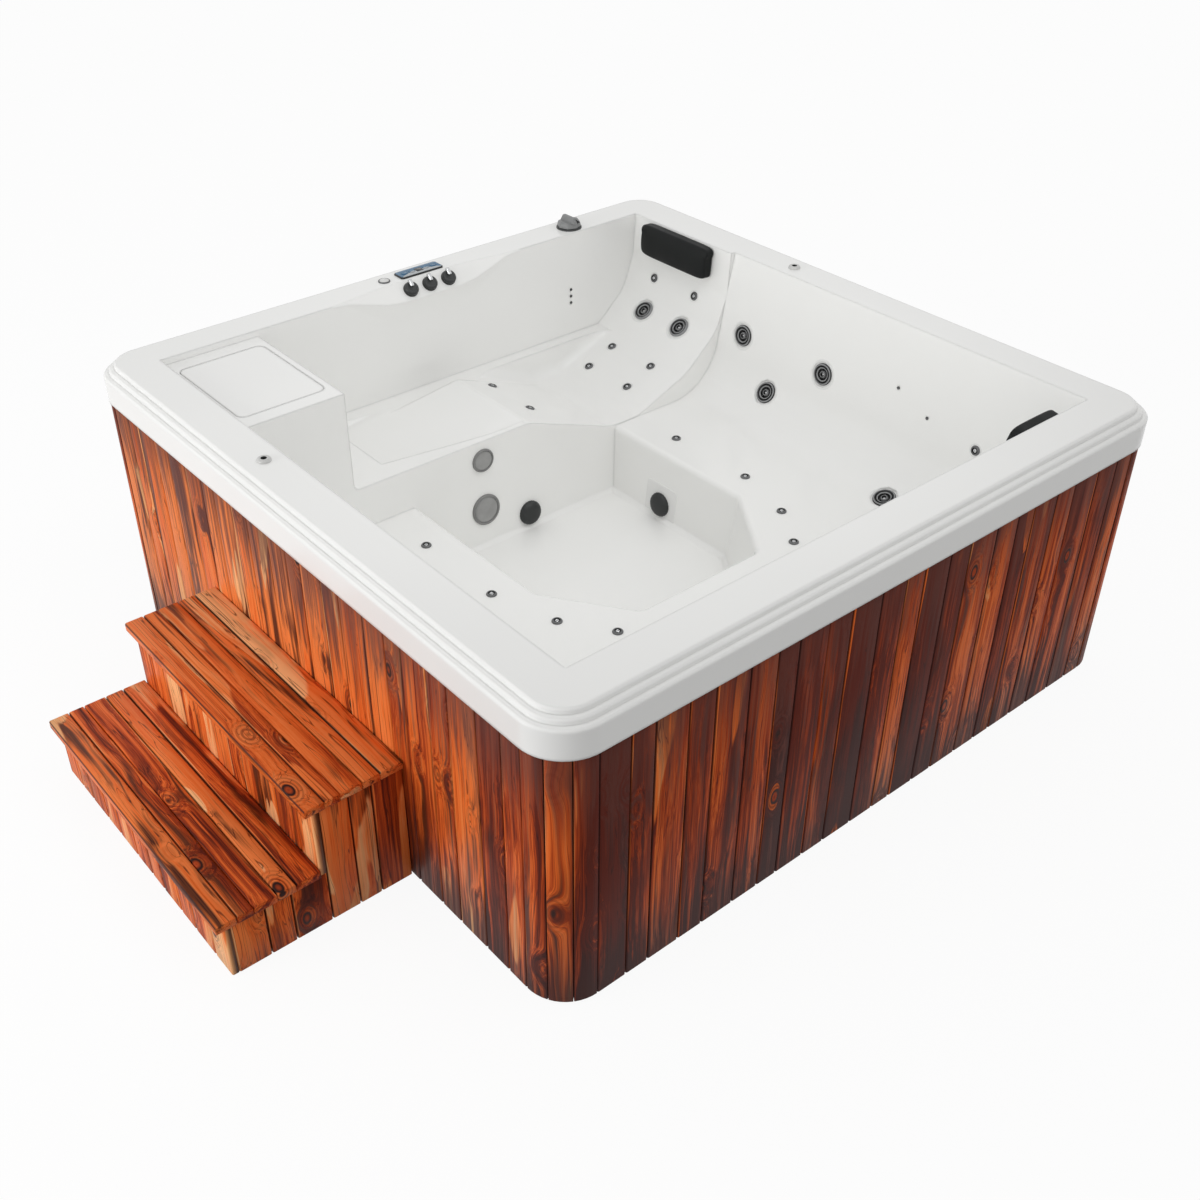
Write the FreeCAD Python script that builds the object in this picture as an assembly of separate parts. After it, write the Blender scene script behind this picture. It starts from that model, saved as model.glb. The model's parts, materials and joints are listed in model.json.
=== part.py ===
"""Square hot tub: acrylic shell with lounger and benches, timber cabinet, plumbing and a pair of steps.

Millimetres, +Z up. The origin is on the floor under the middle of the tub. The steps stand on the -Y
side, the lounger lies along the -X side and the filter box fills the (-X, -Y) corner.
"""
import FreeCAD, Part
import math
import os
from FreeCAD import Placement, Rotation, Vector

# Overall size and rim
TUB_SIDE = 2200.0
TUB_HEIGHT = 885.0
RIM_WIDTH = 157.0
RIM_CORNER_RADIUS = 125.0
SKIRT_HEIGHT = 111.0
RIM_STEP_COUNT = 2
RIM_STEP_WIDTH = 17.0
RIM_STEP_DROP = 14.5
RIM_EDGE_ROUND = 6.0
SHELL_WALL = 10.0

# Benches
SEAT_HEIGHT = 400.0
BACK_LEAN = 93.0
SEAT_ROUND = 200.0

# Footwell, with the benches' level runs beside it
FLOOR_HEIGHT = 165.0
SIDE_BENCH_RUN = 442.0
RIGHT_BENCH_RUN = 448.0
FOOTWELL_CHAMFER_X = 254.0
FOOTWELL_CHAMFER_Y = 178.0
FOOTWELL_DRAFT = 22.0
FOOTWELL_CORNER_RADIUS = 40.0
FOOTWELL_FLOOR_ROUND = 14.0
FOOTWELL_LIP_ROUND = 18.0

# Lounger: outer ridge profile and the body channel sunk into it
LOUNGE_WIDTH = 493.0
LOUNGE_LIP_HEIGHT = 540.0
LOUNGE_KNEE_RUN = 355.0
LOUNGE_HIP_INSET = 548.0
LOUNGE_FOOT_ROUND = 20.0
KNEE_ROUND = 90.0
CHANNEL_RIGHT_INSET = 84.0
CHANNEL_LEFT_INSET = 48.0
CHANNEL_FOOT_RUN = 150.0
CHANNEL_LEG_HEIGHT = 475.0
CHANNEL_LEG_ROUND = 30.0
CHANNEL_HIP_HEIGHT = 404.0
CHANNEL_SEAT_RUN = 125.0
CHANNEL_SMALL_RUN = 345.0
CHANNEL_SMALL_RISE = 90.0
CHANNEL_BACK_INSET = 71.0
CHANNEL_BACK_RISE = 206.0
CHANNEL_BACK_ROUND = 150.0
CHANNEL_SMALL_ROUND = 220.0
CHANNEL_SIDE_ROUND = 45.0
HEADREST_INSET = 27.0
HEADREST_DROP = 150.0
HEADREST_TOP_INSET = 13.0
HEADREST_ROUND = 60.0
ARMREST_HEIGHT = 505.0

# Filter box
FILTER_BOX_DEPTH = 323.0
FILTER_TOP_DROP = 21.0
FILTER_WELL_INSET = 70.0
FILTER_WELL_DEPTH = 360.0
FILTER_WELL_CORNER = 12.0
LID_THICKNESS = 8.0
LID_LEDGE = 14.0
LID_GAP = 2.0
CARTRIDGE_RADIUS = 80.0
CARTRIDGE_LENGTH = 260.0
CARTRIDGE_CAP = 14.0
CARTRIDGE_PLEATS = 12
PLEAT_INSET = 3.0

# Jets and fittings in the shell
FIT_CLEARANCE = 0.3
ROUND_SIDES = 10
STUB_SIDES = 6
PIPE_SIDES = 8
BIG_JET_FLANGE_RADIUS = 37.0
BIG_JET_BODY_RADIUS = 29.0
BIG_JET_FACE_RADIUS = 25.5
BIG_JET_LENGTH = 70.0
BIG_JET_CUP_DEPTH = 15.0
JET_FLANGE_BEVEL = 4.0
JET_FLANGE_HEIGHT = 7.0
JET_MOUTH_HEIGHT = 5.0
JET_HUB_RADIUS = 10.0
JET_DISH_DEPTH = 5.0
JET_GRIP_WIDTH = 8.0
JET_GRIP_BEVEL = 2.0
JET_NOZZLE_HEIGHT = 6.0
JET_NOZZLE_BEVEL = 3.0
JET_SPOKE_COUNT = 3
JET_SPOKE_WIDTH = 5.0
JET_SPOKE_RISE = 2.0
JET_RECESS_RADIUS = 44.0
JET_RECESS_DEPTH = 3.0
SMALL_JET_RADIUS = 16.0
SMALL_JET_LENGTH = 50.0
SMALL_JET_HEIGHT = 6.0
NOZZLE_RIM_SHARE = 0.7
NOZZLE_MOUTH_SHARE = 0.35
NOZZLE_FLOOR_SHARE = 0.4
SPOT_FACE_MARGIN = 2.0
SPOT_FACE_DEPTH = 1.0
SEAT_JET_RADIUS = 15.0
STUB_RADIUS = 12.0
SUCTION_RADIUS = 35.0
SUCTION_STUB = 55.0
SUCTION_SLOTS = 6
SUCTION_FLOOR_GAP = 3.0
SUCTION_SHOULDERS = ((0.0, 7.0), (6.0, 17.0), (16.0, 22.0))
SUCTION_RISE = 24.0
SUCTION_SLOT_INNER = 13.0
SUCTION_SLOT_MARGIN = 7.0
SUCTION_SLOT_WIDTH = 5.0
SUCTION_SLOT_LOW = 12.0
SMALL_LIGHT_RADIUS = 34.0
MAIN_LIGHT_RADIUS = 45.0
LIGHT_STUB = 45.0
LIGHT_EDGE = 4.0
LIGHT_HEIGHT = 8.0
LIGHT_BEVEL = 3.0
LIGHT_RING_WIDTH = 8.0
LENS_DROP = 1.5
LENS_RISE = 2.0
SENSOR_RADIUS = 5.0
SENSOR_STUB = 30.0
SENSOR_HEIGHT = 4.0
SENSOR_BEVEL = 2.0
FOUNTAIN_RADIUS = 20.0
FOUNTAIN_STUB = 60.0
FOUNTAIN_EDGE = 3.0
FOUNTAIN_HEIGHT = 9.0
FOUNTAIN_BEVEL = 5.0
FOUNTAIN_BORE = 7.5
FOUNTAIN_BORE_DEPTH = 20.0

# Places of the fittings: bed jets from the head wall, wall jets from the lounger, seat jets from the footwell
BED_MIDDLE_INSET = 195.0
BED_SPREAD = 105.0
BED_BIG_SPREAD = 94.0
BED_BIG_JET = (98.0, 578.0)
BED_SMALL_JETS = ((44.0, 689.0), (243.0, 478.0), (353.0, 433.0), (789.0, 490.0))
WALL_JETS = ((110.0, 630.0), (480.0, 625.0))
LOW_WALL_JET = (274.0, -2.0)
CURVE_JET = (904.0, 106.0)
WALL_SMALL_JET = (1103.0, 612.0)
FIRST_SEAT_JET = (199.0, 102.0)
OTHER_SEAT_JETS = ((-327.0, 102.0), (-107.0, 40.0), (37.0, -58.0))
SUCTION_Y = 20.0
SECOND_SUCTION_X = -190.0
SMALL_LIGHT_PLACE = (-150.0, 472.0)
MAIN_LIGHT_PLACE = (-153.0, 294.0)
SENSOR_INSET = 323.0
SENSOR_DROP = 260.0
SENSOR_PITCH = 25.0
SENSOR_COUNT = 3
WALL_SENSORS = ((613.0, 195.0), (483.0, 245.0))
FOUNTAIN_X = -228.0
FOUNTAIN_INSET = 57.0
CUT_DEPTH = 80.0
SEAT_CLEAR = 40.0

# Controls on the lounger's rim
PANEL_INSET = 65.0
PANEL_Y = 19.0
PANEL_WIDTH = 55.0
PANEL_LENGTH = 166.0
PANEL_HEIGHT = 6.0
PANEL_CORNER = 6.0
PANEL_BEVEL = 2.0
PANEL_END = 13.0
PANEL_TAIL_INSET = 9.0
PANEL_TAIL_LENGTH = 25.0
DISPLAY_WIDTH = 25.0
DISPLAY_LENGTH = 25.0
DISPLAY_THICKNESS = 1.5
KEY_COUNT = 4
KEY_WIDTH = 15.0
KEY_LENGTH = 20.0
KEY_CORNER = 2.5
KEY_RISE = 1.5
KEY_DEPTH = 5.0
KEY_TRAVEL = 1.0
KEY_BEVEL = 1.0
AIR_BUTTON_Y = -117.0
AIR_BUTTON_RADIUS = 12.5
AIR_BUTTON_TRAVEL = 3.0
AIR_BUTTON_DEPTH = 12.0
AIR_BUTTON_HEIGHT = 8.0
AIR_BUTTON_BEVEL = 2.0
AIR_BUTTON_DOME = 0.5
AIR_RING_STUB = 40.0
AIR_RING_WIDTH = 7.0
AIR_RING_TOP_WIDTH = 3.0
AIR_RING_EDGE = 3.0
AIR_RING_HEIGHT = 6.0
VALVE_PITCH = 75.0
VALVE_RADIUS = 22.5
VALVE_CAP_HEIGHT = 13.0
VALVE_COLLAR = 5.0
VALVE_STEM_RADIUS = 14.0
VALVE_STUB = 60.0
VALVE_COLLAR_BEVEL = 2.0
VALVE_CAP_INSET = 1.5
VALVE_CAP_BEVEL = 4.0
VALVE_CAP_DOME = 1.0
LEVER_WIDTH = 8.0
LEVER_REACH = 25.5
LEVER_INNER = -2.0
LEVER_SINK = 4.0
LEVER_RISE = 5.0
LEVER_BEVEL = 1.0
VALVE_FACET_TOP = 30.0
VALVE_FACET_DROP = 51.0
FACET_MARGIN = 18.0
FACET_TAPER = 260.0
FACET_SWELL = 80.0
FACET_FADE_STEPS = 4
FACET_END = 0.05
DIVERTER_INSET = 52.0
DIVERTER_END_INSET = 288.0
DIVERTER_RADIUS = 43.0
DIVERTER_HEIGHT = 40.0
DIVERTER_COLLAR = 6.0
DIVERTER_STEM_RADIUS = 28.0
DIVERTER_GRIP = 22.0
DIVERTER_REST_TURN = 35.0
DIVERTER_LIP = 2.0
DIVERTER_STUB = 78.0
DIVERTER_BEVEL = 3.0
DIVERTER_SIDES = 8
DIVERTER_WAIST = 14.0
DIVERTER_TAPER = 13.0
DIVERTER_GRIP_DEPTH = 18.0
DIVERTER_GRIP_LEAN = 12.0

# Pillows
LOUNGE_PILLOW_LENGTH = 340.0
CORNER_PILLOW_LENGTH = 185.0
CORNER_PILLOW_INSET = 198.0
CORNER_PILLOW_DROP = 66.0
PILLOW_DROP = 62.0
PILLOW_MARGIN = 4.0
PILLOW_HEIGHT = 112.0
PILLOW_THICKNESS = 48.0
PILLOW_EDGE = 18.0
PILLOW_CROWN_FACETS = 7
PILLOW_ENDS = ((0.0, 0.66), (7.0, 0.86), (22.0, 0.97), (48.0, 1.0))

# Cabinet and frame
CABINET_INSET = 4.5
CABINET_CORNER_RADIUS = 120.0
BOARD_THICKNESS = 18.0
BOARD_NOMINAL_WIDTH = 90.0
BOARD_GAP = 2.0
BOARD_CHAMFER = 3.0
BOARD_FLOOR_GAP = 4.0
BOARD_RIM_GAP = 2.0
BOARD_WIDTH_PATTERN = (1.0, 0.78, 1.12, 0.9, 1.2)
STAVES_PER_CORNER = 3
BASE_PAN_THICKNESS = 8.0
BASE_PAN_GAP = 2.0
BASE_RAIL = 60.0
NAILING_RAIL_DEPTH = 30.0
NAILING_RAIL_HEIGHT = 60.0
NAILING_RAIL_DROP = 24.0
POST_SIZE = 60.0
POST_SPACING = 600.0
CORNER_POST_INSET = 4.0
RIM_RAIL_WIDTH = 28.0
RIM_RAIL_HEIGHT = 75.0
BEARER_WIDTH = 60.0
BEARER_INSET = 102.0

# Water and air equipment
PUMP_BODY_RADIUS = 85.0
PUMP_BODY_LENGTH = 70.0
PUMP_MOTOR_RADIUS = 75.0
PUMP_MOTOR_LENGTH = 250.0
MOTOR_FIN = 6.0
MOTOR_FIN_COUNT = 2
MOTOR_BARE_END = 30.0
MOTOR_FOOT_WIDTH = 110.0
PUMP_RUN = 160.0
SECOND_PUMP_RUN = 152.0
PIPE_RADIUS = 25.0
PIPE_JOINT = 4.0
PUMP_COLLAR = 20.0
PUMP_COLLAR_WALL = 8.0
SADDLE_DROP = 3.0
SADDLE_WALL = 5.0
MANIFOLD_HEIGHT = 330.0
MANIFOLD_RUN = 200.0
HEATER_RADIUS = 34.0
HEATER_LENGTH = 400.0
HEATER_GAP = 155.0
HEATER_NUT = 30.0
HEATER_NUT_WALL = 8.0
PACK_WIDTH = 260.0
PACK_CORNER = 15.0
PACK_END_GAP = 20.0
PACK_TOP_GAP = 12.0
CRADLE_WIDTH = 20.0
AIR_PIPE_RADIUS = 16.0
AIR_PIPE_HEIGHT = 330.0
AIR_PIPE_END = 60.0
BLOWER_RADIUS = 80.0
BLOWER_HEIGHT = 180.0
BLOWER_SHOULDER = 50.0
BLOWER_CAP_DROP = 30.0
BLOWER_CAP_INSET = 20.0
BLOWER_NECK = 20.0
BLOWER_NECK_WALL = 8.0
BLOWER_X_RUN = 50.0
BLOWER_Y_RUN = 232.0

# Steps
STEP_WIDTH = 950.0
STEP_CENTRE_X = 17.0
UPPER_STEP_DEPTH = 258.0
LOWER_STEP_DEPTH = 265.0
LOWER_STEP_HEIGHT = 190.0
UPPER_STEP_HEIGHT = 400.0
TREAD_THICKNESS = 25.0
TREAD_OVERHANG = 22.0
TREAD_SIDE_OVERHANG = 6.0
TREAD_BOARD_WIDTH = 56.0
STRINGER_THICKNESS = 30.0

# Worked out from the sizes above
HALF = TUB_SIDE / 2
TOP = TUB_HEIGHT
OPENING = HALF - RIM_WIDTH
SKIRT_BOTTOM = TOP - SKIRT_HEIGHT
ABOVE = TOP + 60.0
FILTER_TOP = TOP - FILTER_TOP_DROP
FILTER_FACE_Y = -OPENING + FILTER_BOX_DEPTH
FOOTWELL_HALF_WIDTH = OPENING - BACK_LEAN - SIDE_BENCH_RUN
FOOTWELL_RIGHT = OPENING - BACK_LEAN - RIGHT_BENCH_RUN
LOUNGE_EDGE = -OPENING + LOUNGE_WIDTH
LOUNGE_HIP_Y = OPENING - LOUNGE_HIP_INSET
LOUNGE_KNEE_Y = LOUNGE_HIP_Y - LOUNGE_KNEE_RUN
CHANNEL_LEFT = -OPENING + CHANNEL_LEFT_INSET
CHANNEL_RIGHT = LOUNGE_EDGE - CHANNEL_RIGHT_INSET
CHANNEL_FOOT_Y = FILTER_FACE_Y + CHANNEL_FOOT_RUN
BED_MIDDLE = CHANNEL_LEFT + BED_MIDDLE_INSET
PANEL_X = -OPENING - PANEL_INSET
CABINET = HALF - CABINET_INSET
CABINET_INNER = CABINET - BOARD_THICKNESS
CORNER_CENTRE = CABINET - CABINET_CORNER_RADIUS
BACK_SLOPE = math.atan2(BACK_LEAN, TOP - SEAT_HEIGHT)
WALL_DRAFT = math.atan2(FOOTWELL_DRAFT, SEAT_HEIGHT - FLOOR_HEIGHT)
UP = Vector(0, 0, 1)


def flat(z):
    """Put an outline in the level plane at height z."""
    return lambda p: Vector(p.x, p.y, z)


def across(x):
    """Put an outline of (y, z) points in the plane at x."""
    return lambda p: Vector(x, p.x, p.y)


def along(y):
    """Put an outline of (x, z) points in the plane at y."""
    return lambda p: Vector(p.x, y, p.y)


def outline(points, radii, place):
    """Closed wire through the points, with a tangent arc of the given radius at each corner."""
    corners = [Vector(a, b, 0) for a, b in points]
    count = len(corners)
    entries = []
    exits = []
    mids = []
    for i, corner in enumerate(corners):
        back = (corners[i - 1] - corner).normalize()
        ahead = (corners[(i + 1) % count] - corner).normalize()
        half = back.getAngle(ahead) / 2
        tangent = radii[i] / math.tan(half)
        inward = (back + ahead).normalize()
        entries.append(corner + back * tangent)
        exits.append(corner + ahead * tangent)
        mids.append(corner + inward * (radii[i] / math.sin(half) - radii[i]))
    edges = []
    for i in range(count):
        if radii[i] > 0:
            edges.append(Part.Arc(place(entries[i]), place(mids[i]), place(exits[i])).toShape())
        following = entries[(i + 1) % count]
        if exits[i].distanceToPoint(following) > 1e-6:
            edges.append(Part.LineSegment(place(exits[i]), place(following)).toShape())
    return Part.Wire(edges)


def grown(points, distance):
    """Shift every side of a counter-clockwise polygon outwards."""
    count = len(points)
    result = []
    for i in range(count):
        before = Vector(*points[i - 1], 0)
        here = Vector(*points[i], 0)
        after = Vector(*points[(i + 1) % count], 0)
        first = (here - before).normalize()
        second = (after - here).normalize()
        normal_one = Vector(first.y, -first.x, 0)
        normal_two = Vector(second.y, -second.x, 0)
        shift = (normal_one + normal_two) * (distance / (1 + normal_one.dot(normal_two)))
        result.append((here.x + shift.x, here.y + shift.y))
    return result


def flat_face(points):
    """Flat face inside a closed run of points."""
    return Part.Face(Part.makePolygon(points + points[:1]))


def skinned(faces):
    """Solid inside a closed set of flat faces."""
    solid = Part.Solid(Part.Shell(faces))
    if solid.Volume < 0:
        solid = solid.reversed()
    return solid.removeSplitter()


def ringed(rings):
    """Flat-sided solid through rings of points that have as many corners each."""
    faces = [flat_face(rings[0]), flat_face(rings[-1])]
    for low, high in zip(rings, rings[1:]):
        for i in range(len(low)):
            faces.append(flat_face([low[i - 1], low[i], high[i], high[i - 1]]))
    return skinned(faces)


def stacked(sections):
    """Flat-sided solid through level outlines, each a list of (x, y) points and its height."""
    return ringed([[Vector(x, y, z) for x, y in points] for points, z in sections])


def round_points(radius, sides):
    """Corners of a regular polygon round the origin."""
    turns = [2 * math.pi * i / sides for i in range(sides)]
    return [(radius * math.cos(turn), radius * math.sin(turn)) for turn in turns]


def clipped_points(x0, x1, y0, y1, clip):
    """Rectangle with its four corners cut off."""
    return [
        (x0 + clip, y0), (x1 - clip, y0), (x1, y0 + clip), (x1, y1 - clip),
        (x1 - clip, y1), (x0 + clip, y1), (x0, y1 - clip), (x0, y0 + clip),
    ]


def prism(wire, direction):
    return Part.Face(wire).extrude(direction)


def block(x0, x1, y0, y1, z0, z1):
    return Part.makeBox(x1 - x0, y1 - y0, z1 - z0, Vector(x0, y0, z0))


def rounded_block(x0, x1, y0, y1, z0, z1, radius):
    wire = outline([(x0, y0), (x1, y0), (x1, y1), (x0, y1)], [radius] * 4, flat(z0))
    return prism(wire, Vector(0, 0, z1 - z0))


def rod(radius, start, end, sides):
    """Many-sided bar between two points."""
    points = round_points(radius, sides)
    return stood(stacked([(points, 0), (points, start.distanceToPoint(end))]), start, end - start)


def turned(points, sides):
    """Many-sided solid about Z of an (r, z) outline that starts and ends on the axis."""
    faces = []
    for (low_radius, low_z), (high_radius, high_z) in zip(points, points[1:]):
        low = [Vector(x, y, low_z) for x, y in round_points(low_radius, sides)]
        high = [Vector(x, y, high_z) for x, y in round_points(high_radius, sides)]
        for i in range(sides):
            corners = [low[i - 1], low[i]] if low_radius else [low[i]]
            corners += [high[i], high[i - 1]] if high_radius else [high[i]]
            faces.append(flat_face(corners))
    return skinned(faces)


def stood(shape, point, normal):
    """Copy of a shape made along +Z at the origin, set at a point along a normal."""
    copy = shape.copy()
    copy.Placement = Placement(point, Rotation(UP, normal))
    return copy


def fused(shapes):
    return shapes[0].multiFuse(shapes[1:]).removeSplitter()


def group(shapes):
    return Part.makeCompound(shapes)


def pipe(points, radius):
    """Rigid pipe of straight runs with mitred elbows."""
    turn = Rotation(UP, points[1] - points[0])
    rings = [[points[0] + turn.multVec(Vector(x, y, 0)) for x, y in round_points(radius, PIPE_SIDES)]]
    for i in range(1, len(points)):
        run = (points[i] - points[i - 1]).normalize()
        ahead = (points[i + 1] - points[i]).normalize() if i + 1 < len(points) else run
        mitre = run + ahead
        rings.append([p + run * ((points[i] - p).dot(mitre) / run.dot(mitre)) for p in rings[-1]])
    return ringed(rings)


def level_edges(shape, z):
    return [edge for edge in shape.Edges if all(abs(v.Z - z) < 1e-3 for v in edge.Vertexes)]


def between(z, low, low_value, high, high_value):
    return low_value + (high_value - low_value) * (z - low) / (high - low)


# Shell: the space inside is built first, then the same forms grown by the wall make the outside


def back_wall(z):
    """Distance of the three benches' back walls from the middle, at a height."""
    return between(z, SEAT_HEIGHT, OPENING - BACK_LEAN, TOP, OPENING)


def footwell_inset(z):
    return between(z, FLOOR_HEIGHT, FOOTWELL_DRAFT, SEAT_HEIGHT, 0)


def basin(grow):
    """Space over the benches: the two side walls' profile crossed with the right-hand wall's profile."""
    low = SEAT_HEIGHT - grow
    near = back_wall(SEAT_HEIGHT) + grow
    far = back_wall(ABOVE) + grow
    left = LOUNGE_EDGE - grow
    bend = SEAT_ROUND + grow
    sides = [(-near, low), (near, low), (far, ABOVE), (-far, ABOVE)]
    right = [(left, low), (near, low), (far, ABOVE), (left, ABOVE)]
    long_way = prism(outline(sides, [bend, bend, 0, 0], across(left)), Vector(HALF - left, 0, 0))
    cross_way = prism(outline(right, [0, bend, 0, 0], along(-HALF)), Vector(0, TUB_SIDE, 0))
    return long_way.common(cross_way).removeSplitter()


def footwell_points(z, grow):
    inset = footwell_inset(z)
    y = FOOTWELL_HALF_WIDTH - inset + grow
    right = FOOTWELL_RIGHT - inset + grow
    left = LOUNGE_EDGE + inset - grow
    chamfer_x = right - FOOTWELL_CHAMFER_X
    chamfer_y = y - FOOTWELL_CHAMFER_Y
    return [(left, -y), (chamfer_x, -y), (right, -chamfer_y), (right, chamfer_y), (chamfer_x, y), (left, y)]


def footwell(grow):
    """Six-sided well for the feet, with drafted walls and a drawn-out top that joins the basin."""
    low = FLOOR_HEIGHT - grow
    floor = footwell_points(FLOOR_HEIGHT, grow)
    body = stacked([(floor, low), (footwell_points(SEAT_HEIGHT, grow), SEAT_HEIGHT)])
    if grow:
        return body
    uprights = [e for e in body.Edges if not level_edges(e, e.Vertexes[0].Z)]
    uprights = [e for e in uprights if e.CenterOfMass.x > LOUNGE_EDGE / 2]
    body = body.makeFillet(FOOTWELL_CORNER_RADIUS, uprights)
    body = body.makeChamfer(FOOTWELL_FLOOR_ROUND, level_edges(body, FLOOR_HEIGHT))
    top = max(body.Faces, key=lambda f: f.CenterOfMass.z)
    return body.fuse(top.extrude(Vector(0, 0, SEAT_ROUND)))


BED_POINTS = [
    (FILTER_FACE_Y, LOUNGE_LIP_HEIGHT),
    (LOUNGE_KNEE_Y, LOUNGE_LIP_HEIGHT),
    (LOUNGE_HIP_Y, CHANNEL_HIP_HEIGHT),
    (LOUNGE_HIP_Y + CHANNEL_SEAT_RUN, CHANNEL_HIP_HEIGHT),
    (LOUNGE_HIP_Y + CHANNEL_SMALL_RUN, CHANNEL_HIP_HEIGHT + CHANNEL_SMALL_RISE),
    (OPENING - CHANNEL_BACK_INSET, CHANNEL_HIP_HEIGHT + CHANNEL_BACK_RISE),
    (OPENING - HEADREST_INSET, TOP - HEADREST_DROP),
    (OPENING - HEADREST_TOP_INSET, ABOVE),
    (FILTER_FACE_Y, ABOVE),
]
BED_RADII = [
    LOUNGE_FOOT_ROUND, KNEE_ROUND, CHANNEL_BACK_ROUND, CHANNEL_BACK_ROUND, CHANNEL_SMALL_ROUND,
    CHANNEL_BACK_ROUND, HEADREST_ROUND, 0, 0,
]


def long_prism(points, radii, left, right, grow):
    """Prism along X of a (y, z) outline, grown all round by the wall when asked."""
    shape = grown(points, grow) if grow else points
    used = [0] * len(radii) if grow else radii
    return prism(outline(shape, used, across(left - grow)), Vector(right - left + 2 * grow, 0, 0))


def bed(grow):
    """Space over the lounger's bed, softly rounded along the armrest."""
    space = long_prism(BED_POINTS, BED_RADII, CHANNEL_LEFT, LOUNGE_EDGE, grow)
    if grow:
        return space
    rims = []
    for edge in space.Edges:
        middle = edge.CenterOfMass
        on_side = abs(middle.x - CHANNEL_LEFT) < 1e-3
        if on_side and middle.z < TOP and middle.y > FILTER_FACE_Y + 1:
            rims.append(edge)
    return space.makeFillet(CHANNEL_SIDE_ROUND, rims)


def leg_ring(y, right, low, grow):
    left = CHANNEL_LEFT - grow
    corners = [(left, low - grow), (right + grow, low - grow), (right + grow, ABOVE), (left, ABOVE)]
    return [Vector(x, y, z) for x, z in corners]


def leg_trough(grow):
    """Trough for the legs: deepest at the feet, and widening until it runs out at the knees."""
    foot = leg_ring(CHANNEL_FOOT_Y - grow, CHANNEL_RIGHT, CHANNEL_LEG_HEIGHT, grow)
    knee = leg_ring(LOUNGE_KNEE_Y, LOUNGE_EDGE - grow, LOUNGE_LIP_HEIGHT, grow)
    trough = ringed([foot, knee])
    if grow:
        return trough
    bottom = [e for e in trough.Edges if max(v.Z for v in e.Vertexes) <= LOUNGE_LIP_HEIGHT]
    return trough.makeFillet(CHANNEL_LEG_ROUND, [e for e in bottom if e.CenterOfMass.y < LOUNGE_KNEE_Y - 1])


def lounger(grow):
    """Spaces of the lounger: over its bed, its leg trough and the armrest ledge along the left wall."""
    right = CHANNEL_LEFT + CHANNEL_SIDE_ROUND
    low = ARMREST_HEIGHT - grow
    strip = long_prism(BED_POINTS, BED_RADII, -OPENING, right, grow)
    strip = strip.common(block(-HALF, HALF, -HALF, HALF, low, ABOVE))
    ledge = block(-OPENING - grow, right, CHANNEL_FOOT_Y - grow, LOUNGE_HIP_Y, low, ABOVE)
    return [bed(grow), strip, ledge, leg_trough(grow)]


WELL_LEFT = -OPENING + FILTER_WELL_INSET
WELL_RIGHT = LOUNGE_EDGE - FILTER_WELL_INSET
WELL_FRONT = -OPENING + FILTER_WELL_INSET / 2
WELL_BACK = FILTER_FACE_Y - FILTER_WELL_INSET / 2
WELL_FLOOR = FILTER_TOP - FILTER_WELL_DEPTH


def well_block(grow, z0, z1):
    return rounded_block(
        WELL_LEFT - grow, WELL_RIGHT + grow, WELL_FRONT - grow, WELL_BACK + grow, z0, z1,
        FILTER_WELL_CORNER + grow,
    )


def filter_box_space():
    top = block(-OPENING, LOUNGE_EDGE, -OPENING, FILTER_FACE_Y, FILTER_TOP, ABOVE)
    rebate = well_block(LID_LEDGE, FILTER_TOP - LID_THICKNESS, ABOVE)
    return [top, rebate, well_block(0, WELL_FLOOR, ABOVE)]


def filter_box_outside():
    wall = SHELL_WALL
    top = block(-OPENING - wall, LOUNGE_EDGE, -OPENING - wall, FILTER_FACE_Y, FILTER_TOP - wall, TOP)
    collar = LID_LEDGE + wall
    boxes = [top]
    for grow, low in ((collar, FILTER_TOP - LID_THICKNESS - wall), (wall, WELL_FLOOR - wall)):
        sides = (WELL_LEFT - grow, WELL_RIGHT + grow, WELL_FRONT - grow, WELL_BACK + grow)
        boxes.append(block(*sides, low, FILTER_TOP))
    return boxes


VALVE_YS = [PANEL_Y + (i - 1) * VALVE_PITCH for i in range(3)]
FACET_HALF = VALVE_PITCH + VALVE_RADIUS + FACET_MARGIN
FACET_LOW_X = -OPENING - VALVE_FACET_TOP + VALVE_FACET_DROP
FACET_NORMAL = Vector(1, 0, 1).normalize()
FACET_MIDDLE = (-OPENING - VALVE_FACET_TOP / 2 + (FACET_LOW_X + OPENING) / 2, TOP - VALVE_FACET_DROP / 2)


def tapered_run(points):
    """Run an (x, z) outline along the rim's inner edge, fading out smoothly at both ends."""
    rings = []
    for side in (-1, 1):
        for i in range(FACET_FADE_STEPS + 1):
            share = i / FACET_FADE_STEPS if side < 0 else 1 - i / FACET_FADE_STEPS
            scale = FACET_END + (1 - FACET_END) * (1 - math.cos(math.pi * share)) / 2
            y = PANEL_Y + side * (FACET_HALF + FACET_TAPER * (1 - share))
            scaled = [(-OPENING + (x + OPENING) * scale, TOP + (z - TOP) * scale) for x, z in points]
            rings.append([Vector(x, y, z) for x, z in scaled])
    return ringed(rings)


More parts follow.
